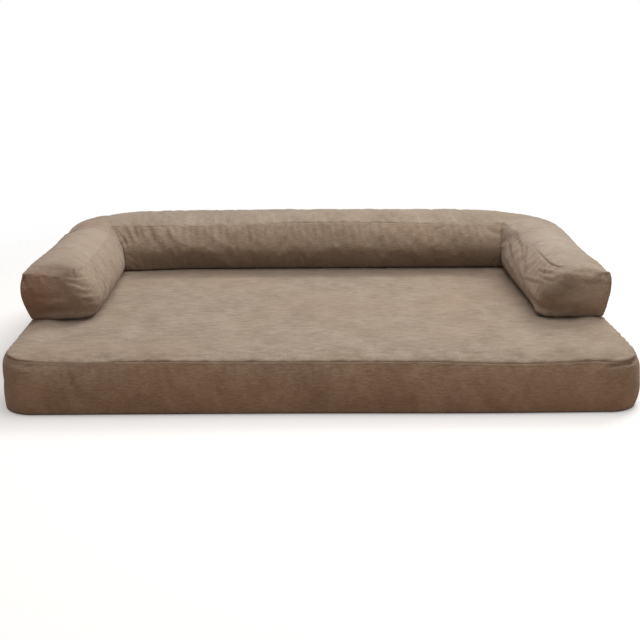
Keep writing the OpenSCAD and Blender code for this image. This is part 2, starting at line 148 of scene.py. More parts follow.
def cover_cloth(name, light, dark, tint, streak=(60.0, 260.0), tones=(0.30, 0.28, 0.30, 0.12)):
    """Woven cloth that reads the piece's own UV map, in metres: U along the weft. tones are the shares of clouds,
    streaks, slubs and flecks; a point attribute of the mesh says where light is painted on, paler (X), where the cloth
    is browner, partly a brown tint and partly warm painted shade (Y), and where shade is painted on, darker (Z)."""
    cloth = Finish(name, Roughness=0.92, Sheen_Weight=0.22, Sheen_Roughness=0.45, Specular_IOR_Level=0.18)
    weave = cloth.node("ShaderNodeUVMap", {"uv_map": "cut"}, {})
    clouds = cloth.noise(weave, 13.0, 4.0, 0.6)
    streaks = cloth.noise(cloth.stretched(weave, *streak), 1.0, 3.0, 0.6)
    slubs = cloth.noise(cloth.stretched(weave, 130.0, 620.0), 1.0, 3.0, 0.65)
    flecks = cloth.noise(cloth.stretched(weave, 420.0, 900.0), 1.0, 2.0, 0.7)
    tone = sum(share * part for share, part in zip(tones, (clouds, streaks, slubs, flecks)))
    yarn = cloth.mix(tone.ramp(0.37, 0.63), dark, light)
    thick = cloth.noise(cloth.stretched(weave, 75.0, 700.0), 1.0, 1.0, 0.5)
    yarn = cloth.mix(thick.ramp(0.66, 0.74) * 0.5, yarn, light)
    yarn = cloth.mix((1 - thick).ramp(0.66, 0.74) * 0.45, yarn, dark)
    warm = cloth.noise(weave, 4.3, 2.0, 0.5).ramp(0.42, 0.7)
    yarn = cloth.mix(warm * 0.35, yarn, tint)
    painted_light_shade_tint = cloth.node("ShaderNodeAttribute", {"attribute_name": "painted_light_shade_tint"}, {}, "Vector")
    # Mixes in painted light (X), a brown tint that also stands for warm shade (Y) and painted shade (Z).
    for letter, painted_to in (("X", PAINTED_LIGHT), ("Y", BROWN_TINT_AND_SHADE), ("Z", PAINTED_SHADE)):
        yarn = cloth.mix(cloth.axis(painted_light_shade_tint, letter), yarn, painted_to)
    warp = (cloth.axis(weave, "X") * (2 * math.pi / WARP_PITCH)).sine()
    weft = (cloth.axis(weave, "Y") * (2 * math.pi / WEFT_PITCH) + slubs * 5.0).sine()
    cloth.set(
        Base_Color=yarn,
        Normal=cloth.bump(
            warp * 0.25 + weft * 0.35 + flecks * 0.9 + slubs * 0.8,
            0.00035,
            cloth.bump(streaks + clouds * 0.8, 0.0012),
        ),
    )
    return cloth.material


WARP_PITCH, WEFT_PITCH = 0.0016, 0.0013
# Colours the cloth is mixed towards: a paler one for painted light, a brown one for a brown tint and warm painted
# shade, and a dark one for painted shade.
PAINTED_LIGHT, BROWN_TINT_AND_SHADE, PAINTED_SHADE = colour(222, 207, 194), colour(150, 96, 60), colour(88, 69, 54)
TOP_LIGHT, TOP_DARK, TOP_TINT = colour(190, 172, 155), colour(152, 134, 116), colour(178, 154, 131)
# The wall and inner colourings are the top's cloth made darker and warmer: painted shade for faces that turn from the
# light, less on the inner walls.
WALL_LIGHT, WALL_DARK, WALL_TINT = colour(182, 159, 138), colour(142, 118, 97), colour(174, 141, 114)
INNER_LIGHT, INNER_DARK, INNER_TINT = colour(187, 166, 147), colour(147, 127, 107), colour(177, 149, 124)
seat_cloth = cover_cloth(
    "taupe_weave_seat", TOP_LIGHT, TOP_DARK, TOP_TINT, streak=(34.0, 115.0), tones=(0.28, 0.33, 0.27, 0.12)
)
top_cloth = cover_cloth("taupe_weave_top", TOP_LIGHT, TOP_DARK, TOP_TINT)
inner_cloth_painted_shade = cover_cloth("taupe_weave_inner_painted_shade", INNER_LIGHT, INNER_DARK, INNER_TINT, tones=(0.27, 0.24, 0.34, 0.15))
wall_cloth_painted_shade = cover_cloth("taupe_weave_wall_painted_shade", WALL_LIGHT, WALL_DARK, WALL_TINT)

# --- Mattress cover ---
# A boxed case of the same cloth round a foam slab: a top panel, a side band round the front and both sides, and a
# rear wall in two strips with a zip between them. The top seam is drawn in, and the band swells out below it.

BED_X, BED_Y, CORNER = 0.650, 0.430, 0.070
BASE_Z, SEAM_Z, RIM_UP, RIM_RUN, SEAT_UP = 0.0016, 0.116, 0.006, 0.010, 0.006
TOP_DRAW, BOTTOM_DRAW = 0.012, 0.004
HEM_Z, HEM_Y = (0.0315, 0.0405), 0.421
CELL, LINE_GAP, CLOTH_THICK = 0.0065, 0.007, 0.0012
SEAM_HOLD, BED_SEAM_SLACK, BOLSTER_SEAM_SLACK = 0.7, -0.010, -0.026
START_WAVE, START_HEIGHT, FOLD_DEPTH_SEEN = 0.022, 0.0005, 0.03
HEM_FADE, HEM_RUN, MEET_FADE, MEET_END, MEET_RUN = 0.016, 0.03, 0.018, 0.004, 0.013
SEAT_FROM, SEAT_OVER = 0.19, 0.154


def steps(*stops):
    """Values that run through the stops, with so many cells between each two: value, cells, value, cells, value."""
    run = [np.array([stops[0]])]
    for start, cells, end in zip(stops[:-2:2], stops[1:-1:2], stops[2::2]):
        run.append(np.linspace(start, end, cells + 1)[1:])
    return np.concatenate(run)


def cells(length):
    return max(2, round(length / CELL))


def ease(x):
    x = np.clip(x, 0, 1)
    return x * x * (3 - 2 * x)


def sewn(grids):
    """Grids of points joined where they touch: the points, and for each grid its points' numbers."""
    every = np.concatenate([g.reshape(-1, 3) for g in grids.values()])
    _, first, number = np.unique(np.round(every, 6), axis=0, return_index=True, return_inverse=True)
    number, numbers = number.reshape(-1), {}
    for name, grid in grids.items():
        size = grid.shape[0] * grid.shape[1]
        numbers[name], number = number[:size].reshape(grid.shape[:2]), number[size:]
    return every[first], numbers


def faces_of(numbers, names_turned):
    """Quads of every grid, all facing outwards."""
    quads = []
    for name, n in numbers.items():
        quad = np.stack([n[:-1, :-1], n[1:, :-1], n[1:, 1:], n[:-1, 1:]], -1).reshape(-1, 4)
        quads.append(quad[:, ::-1] if name in names_turned else quad)
    return np.concatenate(quads)


def neighbour_mean(values, faces):
    """Every value averaged with those of the points beside it."""
    total, count = values.copy(), np.ones(len(values))
    for k in range(4):
        a, b = faces[:, k], faces[:, (k + 1) % 4]
        for here, there in ((a, b), (b, a)):
            for axis in range(values.shape[1]):
                total[:, axis] += np.bincount(here, values[there, axis], len(values))
            count += np.bincount(here, minlength=len(values))
    return total / count[:, None]


def normals_of(points, faces):
    corners = points[faces]
    flat = np.cross(corners[:, 2] - corners[:, 0], corners[:, 3] - corners[:, 1])
    normal = np.zeros_like(points)
    for k in range(4):
        for axis in range(3):
            normal[:, axis] += np.bincount(faces[:, k], flat[:, axis], len(points))
    return normal / np.maximum(np.linalg.norm(normal, axis=1), 1e-12)[:, None]


def ripple(points, length, seed):
    """Smooth noise from -1 to 1 with waves of about that length."""
    chance = np.random.default_rng(seed)
    total = np.zeros(len(points))
    for _ in range(14):
        way = chance.normal(size=3)
        way *= 2 * math.pi / length * chance.uniform(0.7, 1.4) / np.linalg.norm(way)
        total += np.sin(points @ way + chance.uniform(0, 2 * math.pi))
    return total / 14**0.5 / 1.5


def stuffed(name, points, faces, hold, slack, pressure, frames=20):
    """Where the cloth comes to rest when the cushion is filled. hold is how firmly each point stays where it is, and
    slack is how much wider than that space the cloth is cut there."""
    mesh = bpy.data.meshes.new(name)
    mesh.from_pydata(points.tolist(), [], faces.tolist())
    cushion = bpy.data.objects.new(name, mesh)
    bpy.context.scene.collection.objects.link(cushion)
    widest = float(np.abs(slack).max())
    for group, share in (("hold", hold), ("gathered", (widest - slack) / (2 * widest))):
        made = cushion.vertex_groups.new(name=group)
        share = np.round(share, 2)
        for level in np.unique(share[share > 0]):
            made.add(np.nonzero(share == level)[0].tolist(), float(level), "REPLACE")
    cloth = cushion.modifiers.new("filling", "CLOTH")
    cloth.collision_settings.use_collision = False
    cloth.point_cache.frame_end = frames
    cut = cloth.settings
    cut.quality, cut.mass = 5, 0.3
    cut.tension_stiffness = cut.compression_stiffness = 15
    cut.shear_stiffness, cut.bending_stiffness = 7.5, 0.4
    cut.effector_weights.gravity = 0
    cut.use_pressure, cut.uniform_pressure_force = True, pressure
    cut.vertex_group_mass = "hold"
    cut.vertex_group_shrink, cut.shrink_min, cut.shrink_max = "gathered", -widest, widest
    for step in range(1, frames + 1):
        bpy.context.scene.frame_set(step)
    filled = cushion.evaluated_get(bpy.context.evaluated_depsgraph_get()).to_mesh()
    rest = np.empty(len(points) * 3)
    filled.vertices.foreach_get("co", rest)
    bpy.data.objects.remove(cushion)
    bpy.data.meshes.remove(mesh)
    bpy.context.scene.frame_set(1)
    return rest.reshape(-1, 3)


def settled(name, points, faces, hold, slack, pressure, cap, spread=60, keep=0.25):
    """The points with the folds of the filled cloth; of its broad swelling only a share is kept."""
    start = ripple(points * (1, 1, 0.3), START_WAVE, 3)[:, None] * START_HEIGHT * normals_of(points, faces)
    move = stuffed(name, points + start, faces, hold, slack, pressure) - points
    broad = move
    for _ in range(spread):
        broad = neighbour_mean(broad, faces)
        broad[hold >= 1] = 0
    fold = move - (1 - keep) * broad
    size = np.linalg.norm(fold, axis=1)[:, None]
    return points + fold * np.minimum(1, cap / np.maximum(size, 1e-9))


def finer(grid, along, across):
    """The grid read at such columns and rows, whole or not, on a smooth curve through its points."""
    for axis, at in enumerate((along, across)):
        grid = np.moveaxis(grid, axis, 0)
        ends = np.concatenate([2 * grid[:1] - grid[1:2], grid, 2 * grid[-1:] - grid[-2:-1]])
        i = np.clip(np.floor(at).astype(int), 0, len(grid) - 2)
        f = (at - i)[:, None, None]
        a, b, c, d = (ends[i + k] for k in range(4))
        grid = b + 0.5 * f * (c - a + f * (2 * a - 5 * b + 4 * c - d + f * (3 * (b - c) + d - a)))
        grid = np.moveaxis(grid, 0, axis)
    return grid


def fine_steps(last, seams=(True, True)):
    """Two steps to a cell from 0 to last, and closer ones beside a seam."""
    at = np.arange(0, last + 0.01, 0.5)
    extra = np.array([0.12, 0.27])
    return np.sort(np.concatenate([at, extra[: 2 * seams[0]], last - extra[: 2 * seams[1]]]))


SEAM_DEPTH, SEAM_HALF = 0.0016, 0.0016
# Middles and reaches, in mm, of the stretches where a seam is pulled flat and hardly shows
FLAT_SEAMS = np.array((
    ((-515, 0, 234), (30, 240, 30)),
    ((-570, -198, 234), (65, 20, 20)),
    ((510, 90, 234), (30, 150, 30)),
    ((556, -192, 240), (32, 20, 20)),
    ((-235, 245, 240), (130, 30, 30)),
    ((400, 245, 240), (80, 30, 30)),
    ((-480, -430, 112), (90, 40, 30)),
)) / 1000


def seam_depth(grid):
    flat = sum(np.exp(-(((grid - middle) / reach) ** 4).sum(-1)) for middle, reach in FLAT_SEAMS)
    return SEAM_DEPTH * (1 - 0.9 * np.minimum(1, flat))


def gaps(grid, axis):
    """Distance along one way of the grid from its first line."""
    length = np.linalg.norm(np.diff(grid, axis=axis), axis=-1)
    start = np.zeros_like(length[:1] if axis == 0 else length[:, :1])
    return np.concatenate([start, np.cumsum(length, axis)], axis)


def in_metres(folds):
    return [(*(np.array(sizes) / 1000), np.array(path) / 1000) for sizes, *path in folds]


def creased(grid, normal, folds):
    """Presses folds into the cloth. A fold is how deep it is, how wide, how high the cloth stands beside it, and the
    path of its valley; the ridge is on the left of the path, seen from outside."""
    moved = np.zeros(grid.shape[:2])
    for depth, width, ridge, path in folds:
        nearest, side, taper = np.full(grid.shape[:2], 1.0), np.zeros(grid.shape[:2]), np.zeros(grid.shape[:2])
        run = np.concatenate([[0], np.cumsum(np.linalg.norm(np.diff(path, axis=0), axis=1))])
        for a, b, start, end in zip(path[:-1], path[1:], run[:-1], run[1:]):
            way = (b - a) / (end - start)
            reach = np.clip((grid - a) @ way, 0, end - start)
            off = grid - a - reach[..., None] * way
            height = (off * normal).sum(-1)
            off = off - height[..., None] * normal
            gap = np.where(np.abs(height) < FOLD_DEPTH_SEEN, np.linalg.norm(off, axis=-1), 1.0)
            here = gap < nearest
            nearest = np.where(here, gap, nearest)
            side = np.where(here, np.sign((np.cross(way, off) * normal).sum(-1)), side)
            done = (start + reach) / run[-1]
            taper = np.where(here, np.sin(np.pi * np.clip(done, 0.03, 0.97)) ** 0.8, taper)
        valley = depth * np.exp(-((nearest / width) ** 2))
        crest = ridge * np.exp(-(((nearest * side - 1.7 * width) / (1.2 * width)) ** 2))
        moved += taper * (crest - valley)
    return grid + normal * moved[..., None]


# Middle and reach, in mm, of the places where the cloth is painted paler, browner and darker, and by how many percent
# each. Paler is painted light, on the tops and inner sides of the arms and on bright edges; darker is painted shade, in
# creases, on the arm fronts, at the ends of the back and on the seat beside the back and the right arm; browner is
# partly a brown tint of the cloth and partly warm painted shade on the arm fronts and in the rear crease.
PAINTED_LIGHT_SHADE_TINT = np.array((
    ((-560, 40, 225), (80, 170, 60), (33, 4, 0)),
    ((-625, -30, 235), (45, 150, 35), (34, 32, 0)),
    ((-580, 220, 245), (70, 50, 30), (5, 26, 0)),
    ((-608, 153, 243), (22, 9, 15), (0, 25, 45)),
    ((-575, -188, 239), (50, 24, 18), (0, 12, 50)),
    ((-540, -192, 230), (18, 16, 12), (0, 5, 45)),
    ((-622, -205, 180), (40, 30, 60), (0, 50, 12)),
    ((-560, -205, 180), (45, 25, 60), (0, 16, 12)),
    ((-560, -198, 134), (65, 20, 9), (42, 0, 0)),
    ((575, 20, 245), (60, 200, 30), (36, 0, 0)),
    ((495, -20, 195), (35, 160, 50), (34, 22, 0)),
    ((495, -200, 180), (25, 30, 35), (0, 5, 32)),
    ((530, -207, 198), (30, 20, 26), (0, 0, 42)),
    ((500, 198, 229), (18, 35, 16), (45, 0, 0)),
    ((487, -30, 185), (30, 100, 25), (16, 12, 0)),
    ((590, -200, 180), (30, 30, 35), (12, 0, 0)),
    ((485, -180, 137), (30, 40, 10), (25, 0, 0)),
    ((-430, 205, 150), (100, 40, 30), (0, 0, 16)),
    ((430, 205, 150), (120, 40, 30), (0, 0, 12)),
    ((50, 160, 122), (650, 70, 20), (0, 0, 15)),
    ((445, 40, 122), (70, 200, 20), (0, 8, 18)),
    ((-650, -380, 60), (40, 100, 60), (8, 30, 0)),
    ((-450, -370, 120), (180, 60, 20), (2, 12, 0)),
)) / [[1000], [1000], [100]]
# Painted shade: the lower half of the back's inner wall, below its fullest line, is darkened up to a plain edge. In
# metres.
LOWER_BACK, LOWER_REACH, LOWER_PAINTED_SHADE, LOWER_EDGE = (0.0, 0.190, 0.143), (0.470, 0.060, 0.034), 0.27, 12


def placed(name, mesh, material, body, node=None, modifier=None):
    """A piece on its body. node is the CAD part that it stands for."""
    mesh.materials.append(material)
    made = bpy.data.objects.new(name, mesh)
    bpy.context.scene.collection.objects.link(made)
    if modifier:
        title, kind, settings = modifier
        change = made.modifiers.new(title, kind)
        for setting, value in settings.items():
            setattr(change, setting, value)
    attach(made, body)
    if node:
        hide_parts(node)
    return made


def painted_light_shade_tint_at(places):
    """How much painted light, brown tint with warm painted shade, and painted shade the cloth gets at each place."""
    worn_and_painted_light = np.zeros((len(places), 3), dtype=np.float32)
    for middle, reach, shares in PAINTED_LIGHT_SHADE_TINT:
        worn_and_painted_light += np.exp(-(((places - middle) / reach) ** 2).sum(-1))[:, None] * shares
    worn_and_painted_light[:, 2] += LOWER_PAINTED_SHADE * np.exp(-(((places - LOWER_BACK) / LOWER_REACH) ** LOWER_EDGE).sum(-1))
    return worn_and_painted_light


def cloth_piece(name, grid, normal, seams, cut, material, body, node, turned=False):
    """A panel of cloth on the grid. seams says which of its four edges (first and last column, first and last row)
    are sewn; the cloth dips into them. cut is where each point lies on the flat cloth."""
    along, across = gaps(grid, 0), gaps(grid, 1)
    dip = np.zeros(grid.shape[:2])
    for sewn_edge, far in zip(seams, (along, along[-1:] - along, across, across[:, -1:] - across)):
        if sewn_edge:
            dip = np.maximum(dip, np.exp(-((far / SEAM_HALF) ** 1.3)))
    grid = grid - normal * (dip * seam_depth(grid))[..., None]
    n, m = grid.shape[:2]
    quads = faces_of({name: np.arange(n * m).reshape(n, m)}, {name} if turned else ())
    mesh = bpy.data.meshes.new(name)
    mesh.from_pydata(grid.reshape(-1, 3).tolist(), [], quads.tolist())
    mesh.polygons.foreach_set("use_smooth", [True] * len(quads))
    layer = mesh.uv_layers.new(name="cut")
    layer.data.foreach_set("uv", cut.reshape(-1, 2)[quads.reshape(-1)].astype(np.float32).ravel())
    # Painted light, brown tint and painted shade for each point, kept as a point attribute.
    worn_and_painted_light = painted_light_shade_tint_at(grid.reshape(-1, 3))
    mesh.attributes.new("painted_light_shade_tint", "FLOAT_VECTOR", "POINT").data.foreach_set("vector", worn_and_painted_light.ravel())
    thickness = ("cloth thickness", "SOLIDIFY", {"thickness": CLOTH_THICK, "offset": -1})
    placed(name, mesh, material, body, node, thickness)


def panel(name, cloth_at_rest, n, seams, flat, folds, material, body, node, turned=False, plain=False):
    """A panel of a cover, read off the settled cloth. A flat one is cut as it lies, and a plain one gets no closer
    lines beside its seams."""
    at = [
        np.arange(size, dtype=float) if plain else fine_steps(size - 1, seams[2 * k : 2 * k + 2])
        for k, size in enumerate(n.shape)
    ]
    grid, normal = (finer(part[n], *at) for part in cloth_at_rest)
    cut = grid[..., :2] if flat else np.stack([gaps(grid, 0), gaps(grid, 1)], -1)
    grid = creased(grid, normal, folds)
    cloth_piece(name, grid, normal, seams, cut, material, body, node, turned)


def strip(*parts):
    """Grids end to end; each next one starts on the last column of the one before."""
    return np.concatenate([parts[0]] + [p[1:] for p in parts[1:]])


# Lines beside an edge lie closer together, so that the rim can roll over
edge_shares = np.array([0, 0.035, 0.09, 0.18, 0.29, 0.41, 0.53, 0.65, 0.77, 0.885, 1])
edge_n = len(edge_shares) - 1
straight_x, straight_y = BED_X - CORNER, BED_Y - CORNER


def lines(half, straight):
    """Places of the grid lines from one edge to the other."""
    corner = half - (half - straight) * edge_shares
    middle_run = np.linspace(-straight, straight, 2 * round(straight / LINE_GAP) + 1)
    return np.concatenate([-corner[:-1], middle_run, corner[:-1][::-1]])


def rounded(plan, radius):
    """Rounds the four corners of a square-cornered plan."""
    a = (np.abs(plan[..., 0]) - straight_x) / radius
    b = (np.abs(plan[..., 1]) - straight_y) / radius
    near = (a > 0) & (b > 0)
    new_a = np.where(near, a * np.sqrt(np.maximum(0, 1 - b**2 / 2)), a)
    new_b = np.where(near, b * np.sqrt(np.maximum(0, 1 - a**2 / 2)), b)
    new = (straight_x + new_a * radius, straight_y + new_b * radius)
    turned_plan = np.stack([np.sign(plan[..., k]) * new[k] for k in (0, 1)], -1)
    return np.where(near[..., None], turned_plan, plan)


def ring(draw):
    """Plan of the side wall at one height, from the left end of the zip round the front and back to it."""
    x, y = lines(BED_X - draw, straight_x), lines(BED_Y - draw, straight_y)
    left, right = np.full(len(y), x[0]), np.full(len(y), x[-1])
    front, rear = np.full(len(x), y[0]), np.full(len(x), y[-1])
    sides = [
        np.stack([x[edge_n::-1], rear[edge_n::-1]], -1),
        np.stack([left, y[::-1]], -1)[1:],
        np.stack([x, front], -1)[1:],
        np.stack([right, y], -1)[1:],
        np.stack([x[::-1], rear], -1)[1 : len(x) - edge_n],
    ]
    return rounded(np.concatenate(sides), CORNER - draw)


def hemmed(grid, columns, hem_z, hem_y, ends):
    """Draws the wall in to the hems of the zip; the columns near the ends of the zip less. There the hems meet, past
    the reach of the pull."""
    z, from_end = grid[columns, :, 2], ends - np.abs(grid[columns, :, 0])
    middle_z, half_gap = sum(hem_z) / 2, (hem_z[1] - hem_z[0]) / 2
    far = np.maximum(0, np.abs(z - middle_z) - half_gap)
    share = (1 - ease(far / HEM_FADE)) * ease(from_end / HEM_RUN + 0.02)
    grid[columns, :, 1] += share * (hem_y - grid[columns, :, 1])
    meet = (1 - ease((from_end - MEET_END) / MEET_RUN)) * (1 - ease(far / MEET_FADE))
    grid[columns, :, 2] -= meet * np.sign(z - middle_z) * np.minimum(half_gap, np.abs(z - middle_z))


def nudged(points, bumps):
    """The points moved where the real cushion is fuller or lower; a bump is its middle, its reach and its move."""
    for middle, reach, move in bumps:
        share = np.exp(-(((points - middle) / reach) ** 2).sum(-1))
        points = points + share[..., None] * move
    return points


# The front seam sags between the corners, and the band stands out a little at the right. In mm.
BED_BUMPS = np.array((
    ((30, -420, 118), (500, 50, 20), (0, -2, -6)),
    ((420, -430, 112), (170, 40, 18), (0, -4, -9)),
    ((-490, -430, 112), (90, 40, 18), (0, 0, -5)),
    ((-650, -340, 70), (60, 140, 45), (5, 0, 0)),
    ((650, -360, 30), (80, 120, 35), (5, -2, 0)),
    ((630, -400, 112), (40, 50, 20), (1, -2, -7)),
    ((590, -430, 112), (30, 40, 20), (0, 0, -5)),
    ((350, -430, 20), (300, 60, 50), (0, -6, 0)),
)) / 1000
bed_levels = steps(BASE_Z, 5, HEM_Z[0], 2, HEM_Z[1], 12, SEAM_Z)
bed_hems = (5, 7)
share_up = (bed_levels - BASE_Z) / (SEAM_Z - BASE_Z)
draws = np.abs(2 * share_up - 1) ** 2.5 * (BOTTOM_DRAW + (TOP_DRAW - BOTTOM_DRAW) * share_up)
rings = [ring(draw) for draw in draws]
wall = np.stack([np.insert(plan, 2, z, axis=1) for plan, z in zip(rings, bed_levels)], 1)
band_end = len(wall) - 1 - 2 * round(straight_x / LINE_GAP)
hemmed(wall, slice(band_end, len(wall)), HEM_Z, HEM_Y, straight_x)

top_x, top_y = lines(BED_X - TOP_DRAW, straight_x), lines(BED_Y - TOP_DRAW, straight_y)
plan = np.stack(np.meshgrid(top_x, top_y, indexing="ij"), -1)
from_edge = np.minimum(BED_X - TOP_DRAW - np.abs(plan[..., 0]), BED_Y - TOP_DRAW - np.abs(plan[..., 1]))
roll = np.sqrt(1 - (1 - np.minimum(1, from_edge / RIM_RUN)) ** 2)
seat = np.sin(np.pi / 2 * np.clip((from_edge - SEAT_FROM) / SEAT_OVER, 0, 1)) ** 2
height = SEAM_Z + RIM_UP * roll + SEAT_UP * seat
bed = {"top": np.concatenate([rounded(plan, CORNER - TOP_DRAW), height[..., None]], -1), "wall": wall}
# The last column of the wall is its first again.
wall[-1] = wall[0]

points, numbers = sewn(bed)
points = nudged(points, BED_BUMPS)
faces = faces_of(numbers, ())
# The foam holds the middle of the top, and more cloth is cut beside the seam than the seam itself is long.
hold, slack = np.zeros(len(points)), np.full(len(points), 0.008)
n = numbers["top"]
hold[n] = ease((from_edge - 0.03) / 0.1) * 0.5
slack[n] = 0.003 + 0.007 * np.exp(-from_edge / 0.025)
slack[numbers["wall"]] = 0.004 + 0.005 * share_up
hold[numbers["wall"][:, 0]] = 1
seam = numbers["wall"][:, -1]
hold[seam], slack[seam] = SEAM_HOLD, BED_SEAM_SLACK
hold[numbers["wall"][band_end:, bed_hems[0] : bed_hems[1] + 1]] = 1
rest = settled("mattress_cloth", points, faces, hold, slack, 3.0, 0.006, keep=0.1)
outward = normals_of(rest, faces)
wall_n, low, high = numbers["wall"], *bed_hems
mattress_edges = (rest[wall_n], outward[wall_n], slice(band_end, len(wall_n)), bed_hems)
# The few folds that show, in mm: depth, width and ridge, then the path
BED_FOLDS = in_metres((
    ((4.5, 4, 3), (565, -428, 98), (590, -426, 102), (622, -418, 105), (645, -385, 107)),
    ((2, 5, 1), (-560, -428, 104), (-600, -424, 108), (-632, -405, 111)),
))
for name, n, seams, node in (
    ("mattress_top_cloth", numbers["top"], (1, 1, 1, 1), "mattress_top_panel"),
    ("mattress_band_cloth", wall_n[: band_end + 1], (1, 1, 1, 1), "mattress_side_band"),
    ("mattress_rear_upper_cloth", wall_n[band_end:, high:], (1, 1, 0, 1), "mattress_rear_upper_strip"),
    ("mattress_rear_lower_cloth", wall_n[band_end:, : low + 1], (1, 1, 1, 0), "mattress_rear_lower_strip"),
):
    is_top = name == "mattress_top_cloth"
    # The band and rear strips take the darker, warmer wall colouring: painted shade.
    cloth = seat_cloth if is_top else wall_cloth_painted_shade
    panel(name, (rest, outward), n, seams, is_top, BED_FOLDS, cloth, "mattress", node, plain=is_top)

# --- Base of the mattress cover ---
# A smooth brown non-slip cloth with small rubber dots in rows, sewn to the foot of the side band. The bed stands on
# the dots.

base_cloth = Finish("dark_taupe_base_cloth", Roughness=0.8, Sheen_Weight=0.1, Specular_IOR_Level=0.25)
place = base_cloth.place()
threads = base_cloth.noise(base_cloth.stretched(place, 500.0, 1100.0), 1.0, 2.0, 0.6)
patches = base_cloth.noise(place, 14.0, 2.0)
base_cloth.set(
    Base_Color=base_cloth.mix((threads * 0.6 + patches * 0.4).ramp(0.35, 0.65), colour(78, 64, 53), colour(96, 80, 67)),
    Normal=base_cloth.bump(threads, 0.0003),
)
base_x, base_y = lines(BED_X - BOTTOM_DRAW, straight_x), lines(BED_Y - BOTTOM_DRAW, straight_y)
plan = rounded(np.stack(np.meshgrid(base_x, base_y, indexing="ij"), -1), CORNER - BOTTOM_DRAW)
grid = nudged(np.concatenate([plan, np.full(plan.shape[:2] + (1,), BASE_Z)], -1), BED_BUMPS)
down = np.broadcast_to([0.0, 0.0, -1.0], grid.shape)
cut, cloth, no_seams = grid[..., :2], base_cloth.material, (0, 0, 0, 0)
cloth_piece(
    "mattress_base_cloth", grid, down, no_seams, cut, cloth, "mattress", "mattress_base_panel", True
)


class Repeat:
    """A Geometry Nodes tree with named inputs for its sizes, and a material as its last input."""

    def __init__(self, name, **sizes):
        self.tree = bpy.data.node_groups.new(name, "GeometryNodeTree")
        face, self.sizes, self.key = self.tree.interface, sizes, {}
        face.new_socket("Geometry", in_out="OUTPUT", socket_type="NodeSocketGeometry")
        face.new_socket("Geometry", in_out="INPUT", socket_type="NodeSocketGeometry")
        for title in sizes:
            made = face.new_socket(title, in_out="INPUT", socket_type="NodeSocketFloat")
            self.key[title] = made.identifier
        made = face.new_socket("material", in_out="INPUT", socket_type="NodeSocketMaterial")
        self.key["material"] = made.identifier
        self.given = self.tree.nodes.new("NodeGroupInput")
        self.shape = self.given.outputs["Geometry"]

    def size(self, title):
        return self.given.outputs[title]

    def node(self, kind, settings, values, output=0):
        """Adds a node. A value that is a socket is linked; the rest are set."""
        made = self.tree.nodes.new(kind)
        for name, value in settings.items():
            setattr(made, name, value)
        for name, value in values.items():
            socket = made.inputs[name]
            if isinstance(value, bpy.types.NodeSocket):
                self.tree.links.new(value, socket)
            else:
                socket.default_value = value
        return made.outputs[output]

    def math(self, operation, first, second):
        return self.node("ShaderNodeMath", {"operation": operation}, {0: first, 1: second})

    def end(self, shape):
        whole = self.node("GeometryNodeRealizeInstances", {}, {"Geometry": shape})
        done = self.node("GeometryNodeSetMaterial", {}, {"Geometry": whole, "Material": self.size("material")})
        self.tree.links.new(done, self.tree.nodes.new("NodeGroupOutput").inputs[0])

    def make(self, name, start, body, finish, slot, **sizes):
        """A plain mesh made from the start mesh, riding on a body."""
        made = bpy.data.objects.new(name, start)
        bpy.context.scene.collection.objects.link(made)
        growing = made.modifiers.new("repeat", "NODES")
        growing.node_group = self.tree
        for title, value in {**self.sizes, **sizes, "material": finish.material}.items():
            growing[self.key[title]] = value
        made.update_tag()
        grown = made.evaluated_get(bpy.context.evaluated_depsgraph_get())
        mesh = bpy.data.meshes.new_from_object(grown)
        made.modifiers.remove(growing)
        made.data = mesh
        mesh.name = name
        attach(made, body)
        return made


def dotted(name, places, lines_between=(), **attributes):
    """A mesh of points, and lines between them if given, with a vector attribute for each name."""
    mesh = bpy.data.meshes.new(name)
    mesh.from_pydata([tuple(map(float, p)) for p in places], list(lines_between), [])
    for title, values in attributes.items():
        layer = mesh.attributes.new(title, "FLOAT_VECTOR", "POINT")
        layer.data.foreach_set("vector", np.asarray(values, dtype=np.float32).ravel())
    return mesh


# Rubber dots, each a low round stud, in rows that are offset by half a gap
rubber = Finish("rubber_dots", Roughness=0.62, Specular_IOR_Level=0.4)
place = rubber.place()
worn_and_painted_light = rubber.noise(place, 22.0, 3.0, 0.6)
rubber.set(
    Base_Color=rubber.mix(worn_and_painted_light.ramp(0.35, 0.7), colour(46, 40, 36), colour(64, 57, 51)),
    Roughness=worn_and_painted_light.ramp(0.2, 0.9) * 0.2 + 0.52,
    Normal=rubber.bump(rubber.noise(place, 900.0), 0.0001),
)
DOT_GAP, DOT_RADIUS, DOT_TIP, DOT_EDGE = 0.016, 0.0024, 0.0016, 0.012
studs = Repeat("rubber studs", radius=DOT_RADIUS, height=0.0014)
stud = studs.node(
    "GeometryNodeMeshCone",
    {"fill_type": "NGON"},
    {"Vertices": 10, "Side Segments": 1, "Fill Segments": 1, "Radius Top": studs.size("radius"),
     "Radius Bottom": DOT_TIP, "Depth": studs.size("height")},
)
studs.end(studs.node("GeometryNodeInstanceOnPoints", {}, {"Points": studs.shape, "Instance": stud}))
rows = np.arange(-0.41, 0.4101, DOT_GAP * 0.866)
row_starts = [(k % 2) * DOT_GAP / 2 for k in range(len(rows))]
row = np.arange(-0.632, 0.626, DOT_GAP)
centres = np.array([(x + start, y, 0) for start, y in zip(row_starts, rows) for x in row])
corner_gap = np.hypot(*np.maximum(0, np.abs(centres[:, :2]) - (straight_x, straight_y)).T)
centres = centres[corner_gap < CORNER - DOT_EDGE]
studs.make("rubber_dots", dotted("dot_places", centres), "mattress", rubber, "base_cloth")

# --- Foam and liner ---
# A slab of memory foam lies on one of firmer foam. Both are in a bag of waterproof film under the cover, and the
# stretched cover presses their top edges down a little.

PRESSED, PRESSED_FROM, PRESSED_OVER = 0.005, 0.05, 0.05


